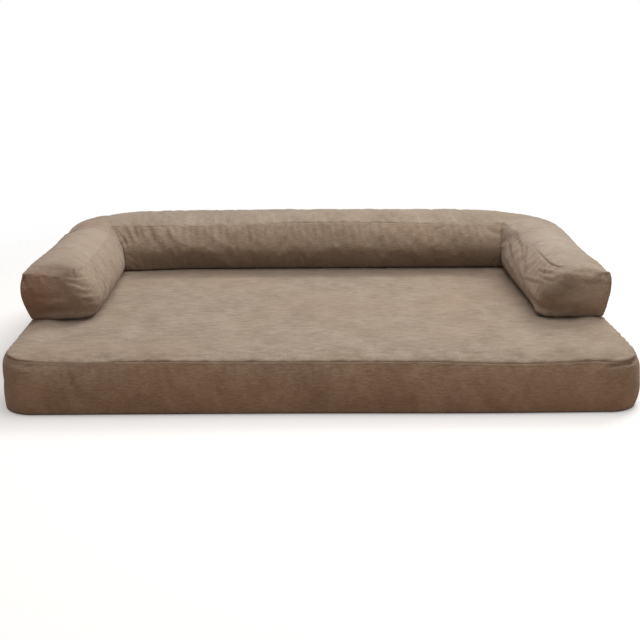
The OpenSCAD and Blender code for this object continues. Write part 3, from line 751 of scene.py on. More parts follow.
def slab(name, finish, node):
    """A piece with the form of a CAD node, pressed down a little at the top by the stretched cover."""
    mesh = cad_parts[node].data.copy()
    form = bmesh.new()
    form.from_mesh(mesh)
    bmesh.ops.remove_doubles(form, verts=form.verts, dist=0.00002)
    for v in form.verts:
        v.co = nudged(np.array(v.co), BED_BUMPS)
        v.co.z -= PRESSED * float(ease((v.co.z - PRESSED_FROM) / PRESSED_OVER))
    form.to_mesh(mesh)
    form.free()
    mesh.materials.clear()
    placed(name, mesh, finish.material, "mattress", node)


def foam(name, fine, coarse, tone, shade):
    """Open-cell foam: round cells of two sizes."""
    made = Finish(name, Roughness=0.95, Specular_IOR_Level=0.15)
    place = made.place()
    small = made.node("ShaderNodeTexVoronoi", {}, {"Vector": place, "Scale": fine}, "Distance")
    large = made.node("ShaderNodeTexVoronoi", {}, {"Vector": place, "Scale": coarse}, "Distance")
    cells_seen = small * 0.6 + large * 0.4
    made.set(Base_Color=made.mix(cells_seen.ramp(0.1, 0.6), shade, tone), Normal=made.bump(cells_seen, 0.0005))
    return made


film = Finish("liner_film", Roughness=0.38, Coat_Weight=0.2, Specular_IOR_Level=0.5)
place = film.place()
crinkle = film.noise(film.stretched(place, 30.0, 18.0), 1.0, 3.0, 0.6)
film.set(
    Base_Color=film.mix(crinkle.ramp(0.3, 0.7), colour(205, 208, 206), colour(226, 228, 226)),
    Normal=film.bump(crinkle, 0.002),
)
memory = foam("memory_foam", 620.0, 260.0, colour(226, 214, 180), colour(198, 184, 146))
support = foam("support_foam", 480.0, 190.0, colour(190, 192, 190), colour(160, 163, 162))
slab("liner_bag", film, "waterproof_liner")
slab("memory_foam_slab", memory, "memory_foam_topper")
slab("support_foam_slab", support, "support_foam_base")

# --- Bolster cover ---
# A long three-sided cushion of the same cloth. One top panel follows the U; the inner panels run round the front of
# each arm to a seam at its outer corner; the outer panels meet a zipped wall at the back.

FOOT_Z, WALL_UP, CROWN = 0.1242, 0.110, 0.017
ARM_OUT, ARM_IN, BACK_OUT, BACK_IN, FRONT_Y = 0.628, 0.501, 0.408, 0.230, -0.192
REAR_R, FRONT_R = 0.185, (0.028, 0.058)
ARM_SWELL, BACK_SWELL, OUTER_SWELL, FRONT_SWELL = 0.027, 0.030, 0.007, 0.016
ARM_LEAN, BACK_LEAN, OUTER_LEAN = 0.013, 0.014, 0.007
ZIP_LOW, ZIP_HIGH, ZIP_RECESS, ZIP_HALF = 0.0235, 0.0325, 0.004, 0.443
TOP_CELLS, INNER_SLOPE, END_RUN, CORNER_BLEND = 26, 0.232, 0.05, 0.12
FRONT_REACH, CORNER_REACH = 0.06, 0.15
ARM_LENGTH = BACK_IN - FRONT_Y

arm_line = FRONT_Y * -1 + BACK_OUT - REAR_R
arc_line = REAR_R * math.pi / 2
corner_at = arm_line + arc_line / 2
arc_end = arm_line + arc_line
half_line = arc_end + ZIP_HALF
outer_at = steps(0.0, cells(corner_at), corner_at, cells(arc_line / 2), arc_end, cells(ZIP_HALF), half_line)
corner_col, zip_col = cells(corner_at), cells(corner_at) + cells(arc_line / 2)
ups = steps(0.0, 5, ZIP_LOW / WALL_UP, 2, ZIP_HIGH / WALL_UP, 15, 1.0)
hem_rows = (5, 7)


def inner_along(at):
    """Where on the inner foot line a column starts. Near the inner corner the columns lie closer together."""
    share = 1 - (1 + INNER_SLOPE) / 2
    arm_fan = (corner_at - ARM_LENGTH) / share
    back_fan = (half_line - corner_at - ARM_IN) / share
    if at <= corner_at:
        gap = max(0.0, at - (corner_at - arm_fan))
        return at - (1 - INNER_SLOPE) * gap**2 / arm_fan / 2
    past = at - corner_at
    near = min(past, back_fan)
    return ARM_LENGTH + INNER_SLOPE * near + (1 - INNER_SLOPE) * near**2 / back_fan / 2 + max(0.0, past - back_fan)


inner_at = np.array([inner_along(at) for at in outer_at])


def swell_of(up):
    return np.sin(np.pi * np.clip(up, 0, 1)) ** 0.65


def outer_plan(at, push):
    """Plan point on the left outer line, pushed outwards."""
    if at < arm_line:
        return np.array([-ARM_OUT - push, FRONT_Y + at])
    if at < arc_end:
        turn = math.pi - (at - arm_line) / REAR_R
        reach = REAR_R + push
        return np.array([REAR_R - ARM_OUT + reach * math.cos(turn), BACK_OUT - REAR_R + reach * math.sin(turn)])
    return np.array([-ZIP_HALF + at - arc_end, BACK_OUT + push])


def inner_plan(along, push):
    """Plan point on the left inner line, pushed towards the seat. Beside the inner corner it makes room for that."""
    room = push * max(0.0, 1 - abs(along - ARM_LENGTH) / CORNER_REACH)
    if along <= ARM_LENGTH:
        return np.array([-ARM_IN + push, FRONT_Y + along - room])
    return np.array([-ARM_IN + along - ARM_LENGTH + room, BACK_IN - push])


def front_push(up, share):
    """How far the front wall stands forward; share runs from the inner side to the outer seam."""
    hold = 1 - 0.4 * ease((share - 0.62) / 0.38)
    return OUTER_LEAN * up + FRONT_SWELL * swell_of(up) * hold


def outer_push(up, at):
    hold = 0.6 + 0.4 * ease(at / 0.05)
    return OUTER_LEAN * up + OUTER_SWELL * swell_of(up) * hold


def inner_push(up, along):
    """An arm's inner side is fullest below its middle; the back's is creased along its middle and turns under."""
    arm = -ARM_LEAN * up + ARM_SWELL * math.sin(math.pi * up**0.78) ** 0.85
    back = -BACK_LEAN * up + BACK_SWELL * (1 - abs(2 * up**1.2 - 1) ** 1.45)
    share = ease((along - ARM_LENGTH) / CORNER_BLEND + 0.5)
    return arm + share * (back - arm)


def forward(at, up, share):
    """How far a column near the front of an arm moves forwards with the front wall."""
    return front_push(up, share) * max(0.0, 1 - at / FRONT_REACH)


def round_front(plan, up):
    """Rounds the inner front corner of the left arm, least at its foot."""
    corner = np.array([-ARM_IN + inner_push(up, 0), FRONT_Y - front_push(up, 0)])
    radius = FRONT_R[0] + (FRONT_R[1] - FRONT_R[0]) * up
    a = 1 - (corner[0] - plan[..., 0]) / radius
    b = 1 - (plan[..., 1] - corner[1]) / radius
    near = (a > 0) & (b > 0)
    turned_a = a * np.sqrt(np.maximum(0, 1 - b**2 / 2))
    turned_b = b * np.sqrt(np.maximum(0, 1 - a**2 / 2))
    moved = np.stack([corner[0] - (1 - turned_a) * radius, corner[1] + (1 - turned_b) * radius], -1)
    return np.where(near[..., None], moved, plan)


across = np.linspace(0, 1, TOP_CELLS + 1)


def level(up):
    """Plan points of the left half at one height: (inner, outer) for every column."""
    inner = np.array([inner_plan(a, inner_push(up, a)) - [0, forward(a, up, 0)] for a in inner_at])
    outer = np.array([outer_plan(b, outer_push(up, b)) - [0, forward(b, up, 1)] for b in outer_at])
    return inner, outer


def flat_panel(up, rise):
    """Top or base of the left half: a grid of columns by points across."""
    inner, outer = level(up)
    plan = inner[:, None] * (1 - across)[None, :, None] + outer[:, None] * across[None, :, None]
    plan = round_front(plan, up)
    end = np.sin(np.pi / 2 * np.minimum(1, inner_at / END_RUN))
    crown = rise * np.sin(np.pi * across)[None, :] ** 0.6 * end[:, None]
    return np.concatenate([plan, (FOOT_Z + WALL_UP * up + crown)[..., None]], -1)


def walls():
    """Inner, outer and front walls of the left half, as grids of columns by heights."""
    inner, outer, front = [], [], []
    for up in ups:
        a, b = level(up)
        z = FOOT_Z + WALL_UP * up
        cap = a[0] * (1 - across)[:, None] + b[0] * across[:, None]
        push = np.array([front_push(up, s) for s in across])
        cap[:, 1] -= push - push[0] - (push[-1] - push[0]) * across
        for grid, plan in ((inner, round_front(a, up)), (outer, b), (front, round_front(cap, up))):
            grid.append(np.concatenate([plan, np.full((len(plan), 1), z)], -1))
    return [np.stack(g, 1) for g in (inner, outer, front)]


inner_left, outer_left, front_left = walls()
top_left, base_left = flat_panel(1.0, CROWN), flat_panel(0.0, 0.0)


MIRRORED = np.array([-1.0, 1.0, 1.0])


def whole(left):
    """The left half and its mirror image, as one grid of columns."""
    return np.concatenate([left, (left[::-1] * MIRRORED)[1:]])


middle = len(outer_at) - 1
zip_first, zip_last = zip_col, 2 * middle - zip_col
first, last = corner_col, 2 * middle - corner_col
bolster = {
    "top": whole(top_left),
    "base": whole(base_left),
    "inner": whole(inner_left),
    "outer": whole(outer_left),
    "front_left": front_left,
    "front_right": front_left * MIRRORED,
}
# Grids whose columns and rows turn the other way round the cushion
turned = {"base", "outer", "front_left"}

zip_z = (FOOT_Z + ZIP_LOW, FOOT_Z + ZIP_HIGH)
zip_run = slice(zip_first, zip_last + 1)
hemmed(bolster["outer"], zip_run, zip_z, BACK_OUT - ZIP_RECESS, ZIP_HALF)
points, numbers = sewn(bolster)
# Stuffed by hand, so no two parts are quite alike: the back's seam rises in the middle, the rear corners sink, the
# left arm leans out at its front, and the top ends of both inner corner seams stand to the left. In mm.
BOLSTER_BUMPS = np.array((
    ((60, 245, 236), (280, 50, 50), (0, 0, 9)),
    ((0, 330, 250), (350, 90, 40), (0, 0, 3)),
    ((-550, 340, 240), (90, 90, 60), (0, 0, -5)),
    ((550, 340, 240), (90, 90, 60), (0, 0, -7)),
    ((-630, -170, 190), (50, 120, 45), (-9, -2, 0)),
    ((-620, 80, 240), (50, 170, 35), (4, 0, -4)),
    ((620, -40, 240), (50, 150, 35), (-7, 0, -7)),
    ((-570, -178, 250), (50, 30, 20), (0, 0, -13)),
    ((-575, -200, 237), (55, 20, 10), (0, -3, -1)),
    ((-590, 100, 252), (50, 38, 30), (0, 0, 4)),
    ((-600, 195, 242), (50, 45, 40), (0, 0, -6)),
    ((560, -200, 236), (35, 30, 20), (0, 8, 6)),
    ((570, -165, 252), (55, 28, 14), (0, 0, -7)),
    ((565, -205, 213), (30, 30, 12), (0, -6, 0)),
    ((503, -195, 190), (28, 28, 35), (-4, -8, 0)),
    ((500, -195, 160), (30, 30, 20), (2, 6, 0)),
    ((-560, -195, 132), (50, 30, 10), (0, -4, 0)),
    ((-480, 230, 125), (100, 60, 40), (0, -18, 0)),
    ((500, -190, 127), (40, 50, 16), (-8, -2, 0)),
    ((-520, -190, 132), (70, 60, 25), (-6, 9, 0)),
    ((628, -190, 240), (25, 40, 20), (-4, 0, -5)),
    ((511, 240, 240), (60, 50, 40), (-23, 0, 4)),
    ((480, 210, 180), (50, 70, 40), (6, 0, 0)),
    ((-511, 240, 236), (60, 50, 50), (-13, 0, 0)),
    ((-485, 200, 180), (50, 70, 42), (-12, 0, 0)),
)) / 1000
points = nudged(points, BOLSTER_BUMPS)
faces = faces_of(numbers, turned)
hold, slack = np.zeros(len(points)), np.full(len(points), 0.010)
# More cloth is gathered into the top seam than the lower part of a wall has, least along the left arm.
gathered = np.exp(-((1 - ups) * WALL_UP) / 0.022)
FADE_COLS = 8
fullness = np.interp(
    np.arange(2 * middle + 1),
    [0, first, first + FADE_COLS, last - FADE_COLS, last, 2 * middle],
    [0.2, 0.2, 0.7, 0.7, 0.2, 0.35],
)
slack[numbers["inner"]] = 0.008 + 0.022 * fullness[:, None] * gathered
for front, share in (("front_left", 0.5), ("front_right", 0.8)):
    slack[numbers[front]] = share * (0.016 + 0.016 * np.exp(-((1 - ups) * WALL_UP) / 0.03))
hold[numbers["base"]] = 1
inner, outer, top, base = (numbers[k] for k in ("inner", "outer", "top", "base"))
seams = [top[:, 0], top[:, -1], top[0], top[-1], inner[first], inner[last]]
for seam in seams + [outer[column] for column in (0, -1, zip_first, zip_last)]:
    hold[seam] = np.maximum(hold[seam], SEAM_HOLD)
    slack[seam] = BOLSTER_SEAM_SLACK
low, high = hem_rows
hold[outer[zip_run, low : high + 1]] = 1
rest = settled("bolster_cloth", points, faces, hold, slack, 4.0, 0.012)
outward = normals_of(rest, faces)
left_front, right_front = numbers["front_left"][::-1], numbers["front_right"][::-1]
bolster_edges = (rest[outer], outward[outer], zip_run, hem_rows)
# Folds of the bolster's cloth, in mm: depth, width and ridge beside it, then the path. First the left arm, then the
# right.
BOLSTER_FOLDS = in_metres((
    ((4, 3.5, 1.5), (-534, -176, 247), (-531, -190, 240), (-526, -196, 233)),
    ((5.5, 3.5, 2), (-496, -170, 224), (-514, -193, 225), (-528, -200, 226), (-545, -203, 227)),
    ((2.2, 3.4, 1.2), (-496, -182, 192), (-512, -198, 200), (-528, -203, 209), (-548, -205, 214)),
    ((1.8, 3.4, 1.2), (-492, -178, 180), (-508, -198, 184), (-530, -205, 192)),
    ((1.6, 3.6, 1), (-488, -165, 166), (-500, -190, 168), (-522, -203, 176)),
    ((1.6, 6, 1.2), (-540, -206, 184), (-580, -206, 180), (-620, -204, 186)),
    ((5, 8, 1), (-490, -170, 152), (-515, -195, 154), (-558, -200, 154), (-616, -202, 148)),
    ((3.4, 3.8, 2), (-604, -202, 146), (-590, -203, 154), (-574, -204, 162)),
    ((1.5, 3.5, 1.2), (-552, -43, 249), (-538, -52, 246.5), (-524, -45, 242)),
    ((1.5, 3.5, 1.2), (-552, -80, 249), (-535, -86, 245.7), (-522, -92, 241)),
    ((6, 4, 1), (-637, -196, 230), (-635, -202, 218), (-632, -204, 200)),
    ((6.5, 4.2, 3.5), (-636, 146, 170), (-635, 149, 200), (-628, 150, 226), (-614, 149, 241), (-598, 148, 248),
     (-578, 155, 252), (-560, 166, 252)),
    ((2, 4.5, 1.5), (-528, 200, 240), (-510, 180, 226), (-497, 160, 212)),
    ((4.5, 3.5, 2), (-522, 213, 238), (-512, 210, 215), (-500, 208, 186), (-494, 208, 155)),
    ((4, 3.5, 1.5), (-508, 222, 236), (-498, 216, 216), (-486, 208, 190)),
    ((1.2, 3, 1), (512, -30, 232), (513, -91, 232), (514, -150, 232), (524, -190, 230)),
    ((5, 3.4, 2.5), (480, -120, 222), (492, -160, 224), (505, -185, 226), (524, -198, 225)),
    ((1.8, 6, 3.2), (492, -185, 210), (506, -200, 216), (526, -206, 218), (556, -207, 211), (590, -206, 205),
     (622, -204, 203)),
    ((4, 3.4, 2), (478, -150, 216), (490, -182, 212), (504, -199, 208), (519, -204, 205)),
    ((1.8, 4, 1.5), (478, -50, 172), (483, -133, 188), (490, -176, 196), (504, -196, 194)),
    ((6, 8, 1.5), (475, -120, 154), (483, -168, 154), (500, -190, 150), (530, -199, 150), (575, -203, 153)),
    ((4, 4, 2), (618, -199, 233), (623, -202, 222), (624, -203, 208)),
    ((1.8, 6, 1.5), (498, 190, 215), (491, 165, 205), (482, 51, 182)),
    ((1.8, 6, 1.5), (506, 150, 226), (500, 71, 219), (486, -30, 195)),
    ((1.8, 5.5, 1.5), (507, 60, 228), (498, 10, 217), (482, -60, 185)),
    ((1.5, 5.5, 1.2), (480, 150, 170), (476, 60, 160), (476, 0, 148)),
    ((1.5, 5.5, 1.2), (482, 20, 182), (477, -50, 168), (478, -110, 150)),
    ((1.5, 3.5, 1.2), (520, 22, 240), (530, 14.6, 244), (541, 11, 247)),
))
# Gathers hang from the back's top seam to its middle: from, to, gap, depth, slant. They slant most near the left end.
chance = np.random.default_rng(7)
for start, end, gap, depth, slant in (
    (-0.497, -0.385, 0.021, 0.0028, 0.55),
    (-0.34, -0.05, 0.034, 0.0011, 0.2),
    (-0.03, 0.17, 0.024, 0.0015, 0.05),
    (0.20, 0.44, 0.022, 0.0020, 0.0),
):
    for x in np.arange(start, end, gap):
        x += chance.uniform(-0.3, 0.3) * gap
        drop = 0.05 * chance.uniform(0.6, 1.05)
        lean = slant * drop + chance.uniform(-0.003, 0.004)
        path = np.array(((x, 0.243, 0.242), (x + lean * 0.4, 0.226, 0.215), (x + lean, 0.214, 0.235 - drop)))
        deep, wide = depth * chance.uniform(0.35, 1.35), chance.uniform(0.0042, 0.006)
        BOLSTER_FOLDS.append((deep, wide, depth * 0.7, path))
sewn_round, zip_above, zip_below = (1, 1, 1, 1), (1, 1, 1, 0), (1, 1, 0, 1)
# Inner panels, outer walls and base take the darker, warmer colourings: painted shade.
for name, n, seams, cloth, turned_over, node in (
    ("top", top, sewn_round, top_cloth, False, "top_panel"),
    ("inner_left", strip(left_front, inner[: first + 1]), sewn_round, inner_cloth_painted_shade, False, "inner_left"),
    ("inner_back", inner[first : last + 1], sewn_round, inner_cloth_painted_shade, False, "inner_back"),
    ("inner_right", strip(inner[last:], right_front[::-1]), sewn_round, inner_cloth_painted_shade, False, "inner_right"),
    ("outer_left", outer[: zip_first + 1], sewn_round, wall_cloth_painted_shade, True, "outer_left"),
    ("outer_right", outer[zip_last:], sewn_round, wall_cloth_painted_shade, True, "outer_right"),
    ("rear_upper", outer[zip_run, high:], zip_below, wall_cloth_painted_shade, True, "rear_upper_strip"),
    ("rear_lower", outer[zip_run, : low + 1], zip_above, wall_cloth_painted_shade, True, "rear_lower_strip"),
    ("base", base, sewn_round, wall_cloth_painted_shade, True, "base_panel"),
):
    flat, title, node = name in ("top", "base"), f"bolster_{name}_cloth", f"bolster_{node}"
    panel(title, (rest, outward), n, seams, flat, BOLSTER_FOLDS, cloth, "bolster", node, turned_over)

# --- Filling of the bolster ---
# Loose polyester fibre in three lengths: one in each arm and one in the back, pressed together at the corners. It
# follows the cover from inside.

fibre = Finish("fibre_filling", Roughness=0.95, Sheen_Weight=0.3, Specular_IOR_Level=0.1)
place = fibre.place()
wisps = fibre.noise(fibre.stretched(place, 60.0, 60.0, 140.0), 1.0, 5.0, 0.7)
fibre.set(
    Base_Color=fibre.mix(wisps.ramp(0.3, 0.7), colour(214, 212, 206), colour(240, 239, 235)),
    Normal=fibre.bump(wisps, 0.003),
)
FILL_INSET, FILL_SOFTER = 0.008, 8
core = rest
for _ in range(FILL_SOFTER):
    core = neighbour_mean(core, faces)
core = core - normals_of(core, faces) * FILL_INSET


def filling(name, start, end, fronts, node):
    """A closed length of filling between two columns of the cover. Each open end gets a flat cap."""
    part = {"inner": inner[start:end], "top": top[start:end], "outer": outer[start:end], "base": base[start:end]}
    part.update({front: numbers[front] for front in fronts})
    used = np.unique(np.concatenate([n.ravel() for n in part.values()]))
    quads = np.searchsorted(used, faces_of(part, turned)).tolist()
    caps, middles = [], []
    for column in [c for c, shut in ((start, start == 0), (end - 1, end == len(top))) if not shut]:
        rim = np.concatenate([inner[column], top[column][1:], outer[column][::-1][1:], base[column][::-1][1:-1]])
        centre = len(used) + len(middles)
        middles.append(core[rim].mean(0))
        rim = np.searchsorted(used, rim)
        caps += [(int(a), int(b), centre) for a, b in zip(rim, np.roll(rim, -1))]
    mesh = bpy.data.meshes.new(name)
    mesh.from_pydata(core[used].tolist() + [m.tolist() for m in middles], [], quads + caps)
    form = bmesh.new()
    form.from_mesh(mesh)
    bmesh.ops.recalc_face_normals(form, faces=form.faces)
    form.to_mesh(mesh)
    form.free()
    mesh.polygons.foreach_set("use_smooth", [True] * len(mesh.polygons))
    placed(name, mesh, fibre.material, "bolster", node)


filling("left_filling", 0, first, ("front_left",), "bolster_fill_left")
filling("back_filling", first, last + 1, (), "bolster_fill_back")
filling("right_filling", last + 1, len(top), ("front_right",), "bolster_fill_right")

# --- Zips ---
# A closed nylon coil zip low in the rear wall of each cover: two woven tapes, the coil, metal stops, slider and pull.
# The cloth is turned in beside it and sewn down with a row of thread.

tape = Finish("zip_tape", Roughness=0.85, Sheen_Weight=0.15, Specular_IOR_Level=0.2)
place = tape.place()
ribs = (tape.axis(place, "Z") * (2 * math.pi / 0.0009)).sine()
picks = (tape.axis(place, "X") * (2 * math.pi / 0.0007)).sine()
fuzz = tape.noise(place, 700.0)
tape.set(
    Base_Color=tape.mix((ribs * 0.25 + fuzz).ramp(0.2, 0.9), colour(62, 51, 43), colour(86, 73, 62)),
    Normal=tape.bump(ribs * 0.5 + picks * 0.5 + fuzz, 0.0003),
)
nylon = Finish("nylon_coil", Roughness=0.36, Specular_IOR_Level=0.5, Coat_Weight=0.15, Coat_Roughness=0.3)
place = nylon.place()
scuffs = nylon.noise(place, 160.0, 3.0, 0.6)
nylon.set(
    Base_Color=nylon.mix(scuffs, colour(58, 48, 41), colour(78, 66, 57)),
    Roughness=scuffs.ramp(0.3, 0.8) * 0.25 + 0.28,
)
metal = Finish("antique_brass", Roughness=0.32, Metallic=1.0)
place = metal.place()
tarnish = metal.noise(place, 240.0, 4.0, 0.65)
scratches = metal.noise(metal.stretched(place, 300.0, 300.0, 3000.0), 1.0, 2.0)
metal.set(
    Base_Color=metal.mix(tarnish.ramp(0.35, 0.7), colour(118, 96, 66), colour(168, 142, 100)),
    Roughness=tarnish.ramp(0.3, 0.75) * 0.25 + scratches * 0.15 + 0.18,
    Normal=metal.bump(scratches, 0.00008),
)
THREAD_TWIST = 9000.0
thread = Finish("sewing_thread", Roughness=0.6, Sheen_Weight=0.3, Specular_IOR_Level=0.3)
place = thread.place()
twist = (thread.noise(place, 90.0) * 6.0 + thread.axis(place, "X") * THREAD_TWIST).sine()
thread.set(
    Base_Color=thread.mix(twist.ramp(-1.0, 1.0), colour(128, 108, 90), colour(158, 138, 118)),
    Normal=thread.bump(twist, 0.0001),
)

# A row of stitches along a line; "out" points away from the cloth.
sewing = Repeat("row of stitches", stitch=0.0030, gap=0.0008, thread=0.00035)
line = sewing.node("GeometryNodeMeshToCurve", {}, {"Mesh": sewing.shape})
pitch = sewing.math("ADD", sewing.size("stitch"), sewing.size("gap"))
line = sewing.node("GeometryNodeResampleCurve", {"mode": "LENGTH"}, {"Curve": line, "Length": pitch})
stitch = sewing.node("GeometryNodeMeshUVSphere", {}, {"Segments": 6, "Rings": 4, "Radius": 1.0})
half_stitch = sewing.math("MULTIPLY", sewing.size("stitch"), 0.5)
thick = sewing.size("thread")
form = sewing.node("ShaderNodeCombineXYZ", {}, {"X": half_stitch, "Y": thick, "Z": thick})
along = sewing.node("GeometryNodeInputTangent", {}, {})
out = sewing.node("GeometryNodeInputNamedAttribute", {"data_type": "FLOAT_VECTOR"}, {"Name": "out"})
turn = sewing.node("FunctionNodeAlignRotationToVector", {"axis": "X"}, {"Vector": along})
upright = {"axis": "Z", "pivot_axis": "X"}
turn = sewing.node("FunctionNodeAlignRotationToVector", upright, {"Rotation": turn, "Vector": out})
placing = {"Points": line, "Instance": stitch, "Rotation": turn, "Scale": form}
sewing.end(sewing.node("GeometryNodeInstanceOnPoints", {}, placing))
THREAD_LIFT = 0.0002


def sewn_line(name, path, away, body, **sizes):
    """Stitches along a path of points on the cloth."""
    path, away = np.asarray(path), np.asarray(away)
    ties = [(k, k + 1) for k in range(len(path) - 1)]
    start = dotted(name + "_path", path + away * THREAD_LIFT, ties, out=away)
    made = sewing.make(name, start, body, thread, "cover_cloth", **sizes)
    made.data.polygons.foreach_set("use_smooth", [True] * len(made.data.polygons))


# Teeth of both halves of a coil, in a row along it
coiling = Repeat("coil teeth", length=1.0, pitch=0.0015, width=0.0041, thickness=0.0021, offset=0.0016)
count = coiling.math("DIVIDE", coiling.size("length"), coiling.size("pitch"))
step = coiling.node("ShaderNodeCombineXYZ", {}, {"X": coiling.size("pitch")})
in_steps = {"mode": "OFFSET", "count_mode": "TOTAL"}
tooth_row = coiling.node("GeometryNodeMeshLine", in_steps, {"Count": count, "Offset": step})
tooth = coiling.node("GeometryNodeMeshCylinder", {"fill_type": "NGON"}, {"Vertices": 6, "Radius": 0.5, "Depth": 1.0})
TOOTH_WIDE, TOOTH_SLANT = 0.00105, 0.16
across_coil = {"X": TOOTH_WIDE, "Y": coiling.size("thickness"), "Z": coiling.size("width")}
tooth_size = coiling.node("ShaderNodeCombineXYZ", {}, across_coil)
halves = []
for side in (1, -1):
    shift = coiling.math("MULTIPLY", coiling.size("offset"), float(side))
    half_pitch = coiling.math("MULTIPLY", coiling.size("pitch"), 0.0 if side > 0 else 0.5)
    place = coiling.node("ShaderNodeCombineXYZ", {}, {"X": half_pitch, "Z": shift})
    slanted = {"Points": tooth_row, "Instance": tooth, "Scale": tooth_size, "Rotation": (0.0, TOOTH_SLANT * side, 0.0)}
    teeth = coiling.node("GeometryNodeInstanceOnPoints", {}, slanted)
    halves.append(coiling.node("GeometryNodeTransform", {}, {"Geometry": teeth, "Translation": place}))
joined = coiling.tree.nodes.new("GeometryNodeJoinGeometry")
for half in halves:
    coiling.tree.links.new(half, joined.inputs[0])
# The tree draws its row at the start point of the mesh that it is given.
coiling.end(coiling.node("GeometryNodeInstanceOnPoints", {}, {"Points": coiling.shape, "Instance": joined.outputs[0]}))

COIL_END, COIL_SHORTER, FROM_HEM = 0.0006, 0.001, 0.35
for body, (grid, away, columns, hems) in (("mattress", mattress_edges), ("bolster", bolster_edges)):
    lowest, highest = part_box(body + "_zip_coil")
    _, mid_y, mid_z = ((a + b) / 2 for a, b in zip(lowest, highest))
    start = dotted("coil_start", [(lowest[0] + COIL_END, mid_y, mid_z)])
    length = float(highest[0] - lowest[0]) - COIL_SHORTER
    coil = coiling.make(body + "_zip_teeth", start, body, nylon, "zip_coil", length=length)
    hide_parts(body + "_zip_coil")
    for part in ("upper_tape", "lower_tape", "stops", "slider", "pull"):
        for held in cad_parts[f"{body}_zip_{part}"].material_slots:
            held.material = (tape if "tape" in part else metal).material
    every_column = np.arange(0, len(grid[columns]) - 0.99, 1.0)
    for part, row in (("upper", hems[1] + FROM_HEM), ("lower", hems[0] - FROM_HEM)):
        path, normal = (finer(part_of[columns], every_column, np.array([row]))[:, 0] for part_of in (grid, away))
        sewn_line(f"{body}_zip_stitches_{part}", path, normal, body)

# --- Hook and loop tape ---
# Woven tapes are sewn along the middle of the bolster's foot and on the mattress under it: hooks below and loops
# above, each a small bent thread.

bristle = Finish("hook_and_loop", Roughness=0.7, Sheen_Weight=0.2, Specular_IOR_Level=0.35)
place = bristle.place()
weave = bristle.noise(place, 800.0, 2.0)
bristle.set(
    Base_Color=bristle.mix(weave.ramp(0.3, 0.7), colour(58, 48, 41), colour(80, 67, 57)),
    Normal=bristle.bump(weave, 0.0002),
)
# Small bent threads standing all over a face: hooks where the bend stays open, loops where it comes back down.
pile = Repeat("pile of hooks or loops", density=100000.0, bend=0.0004, sweep=3.14, thickness=0.00009, seed=4.0)
spots = pile.node(
    "GeometryNodeDistributePointsOnFaces",
    {"distribute_method": "RANDOM"},
    {"Mesh": pile.shape, "Density": pile.size("density")},
)
bent = pile.node(
    "GeometryNodeCurveArc",
    {"mode": "RADIUS"},
    {"Resolution": 5, "Radius": pile.size("bend"), "Sweep Angle": pile.size("sweep")},
)
three_sided = {"Resolution": 3, "Radius": pile.size("thickness")}
ring_of_three = pile.node("GeometryNodeCurvePrimitiveCircle", {"mode": "RADIUS"}, three_sided)
bent = pile.node("GeometryNodeCurveToMesh", {}, {"Curve": bent, "Profile Curve": ring_of_three, "Fill Caps": True})
bent = pile.node("GeometryNodeTransform", {}, {"Geometry": bent, "Rotation": (math.pi / 2, 0.0, 0.0)})
spin = pile.node(
    "FunctionNodeRandomValue",
    {"data_type": "FLOAT_VECTOR"},
    {"Min": (0.0, 0.0, 0.0), "Max": (0.0, 0.0, 2 * math.pi), "Seed": pile.size("seed")},
)
pile.end(pile.node("GeometryNodeInstanceOnPoints", {}, {"Points": spots, "Instance": bent, "Rotation": spin}))
TAPE_W, BACK_TAPE, ARM_TAPE = 0.030, 0.70, 0.28
TAPE_THICK, PILE_INSET, STITCH_INSET = 0.00045, 0.002, 0.0015
arm_mid, back_mid, arm_tape_y = (ARM_OUT + ARM_IN) / 2, (BACK_OUT + BACK_IN) / 2, (FRONT_Y + BACK_IN) / 2
runs = [
    (-arm_mid, arm_tape_y, TAPE_W, ARM_TAPE),
    (0.0, back_mid, BACK_TAPE, TAPE_W),
    (arm_mid, arm_tape_y, TAPE_W, ARM_TAPE),
]


def rectangle(x, y, half_w, half_d, z):
    return [(x + a * half_w, y + b * half_d, z) for a, b in ((-1, -1), (1, -1), (1, 1), (-1, 1))]


def tape_faces(name, level, up):
    """The face of each run of tape, just inside its edges."""
    mesh = bpy.data.meshes.new(name)
    corners, quads = [], []
    for x, y, w, d in runs:
        w, d = w / 2 - PILE_INSET, d / 2 - PILE_INSET
        quads.append([len(corners) + k for k in ((0, 1, 2, 3) if up > 0 else (3, 2, 1, 0))])
        corners += rectangle(x, y, w, d, level)
    mesh.from_pydata(corners, [], quads)
    return mesh


def tape_base(name, low, high, body, node):
    """Thin woven tape with soft edges under the hooks or loops."""
    form = bmesh.new()
    for x, y, w, d in runs:
        made = bmesh.ops.create_cube(form, size=1.0)["verts"]
        bmesh.ops.scale(form, vec=(w, d, high - low), verts=made)
        bmesh.ops.translate(form, vec=(x, y, (low + high) / 2), verts=made)
    mesh = bpy.data.meshes.new(name)
    form.to_mesh(mesh)
    form.free()
    soft_edge = ("soft edge", "BEVEL", {"width": 0.00015, "segments": 2})
    placed(name, mesh, bristle.material, body, node, modifier=soft_edge)


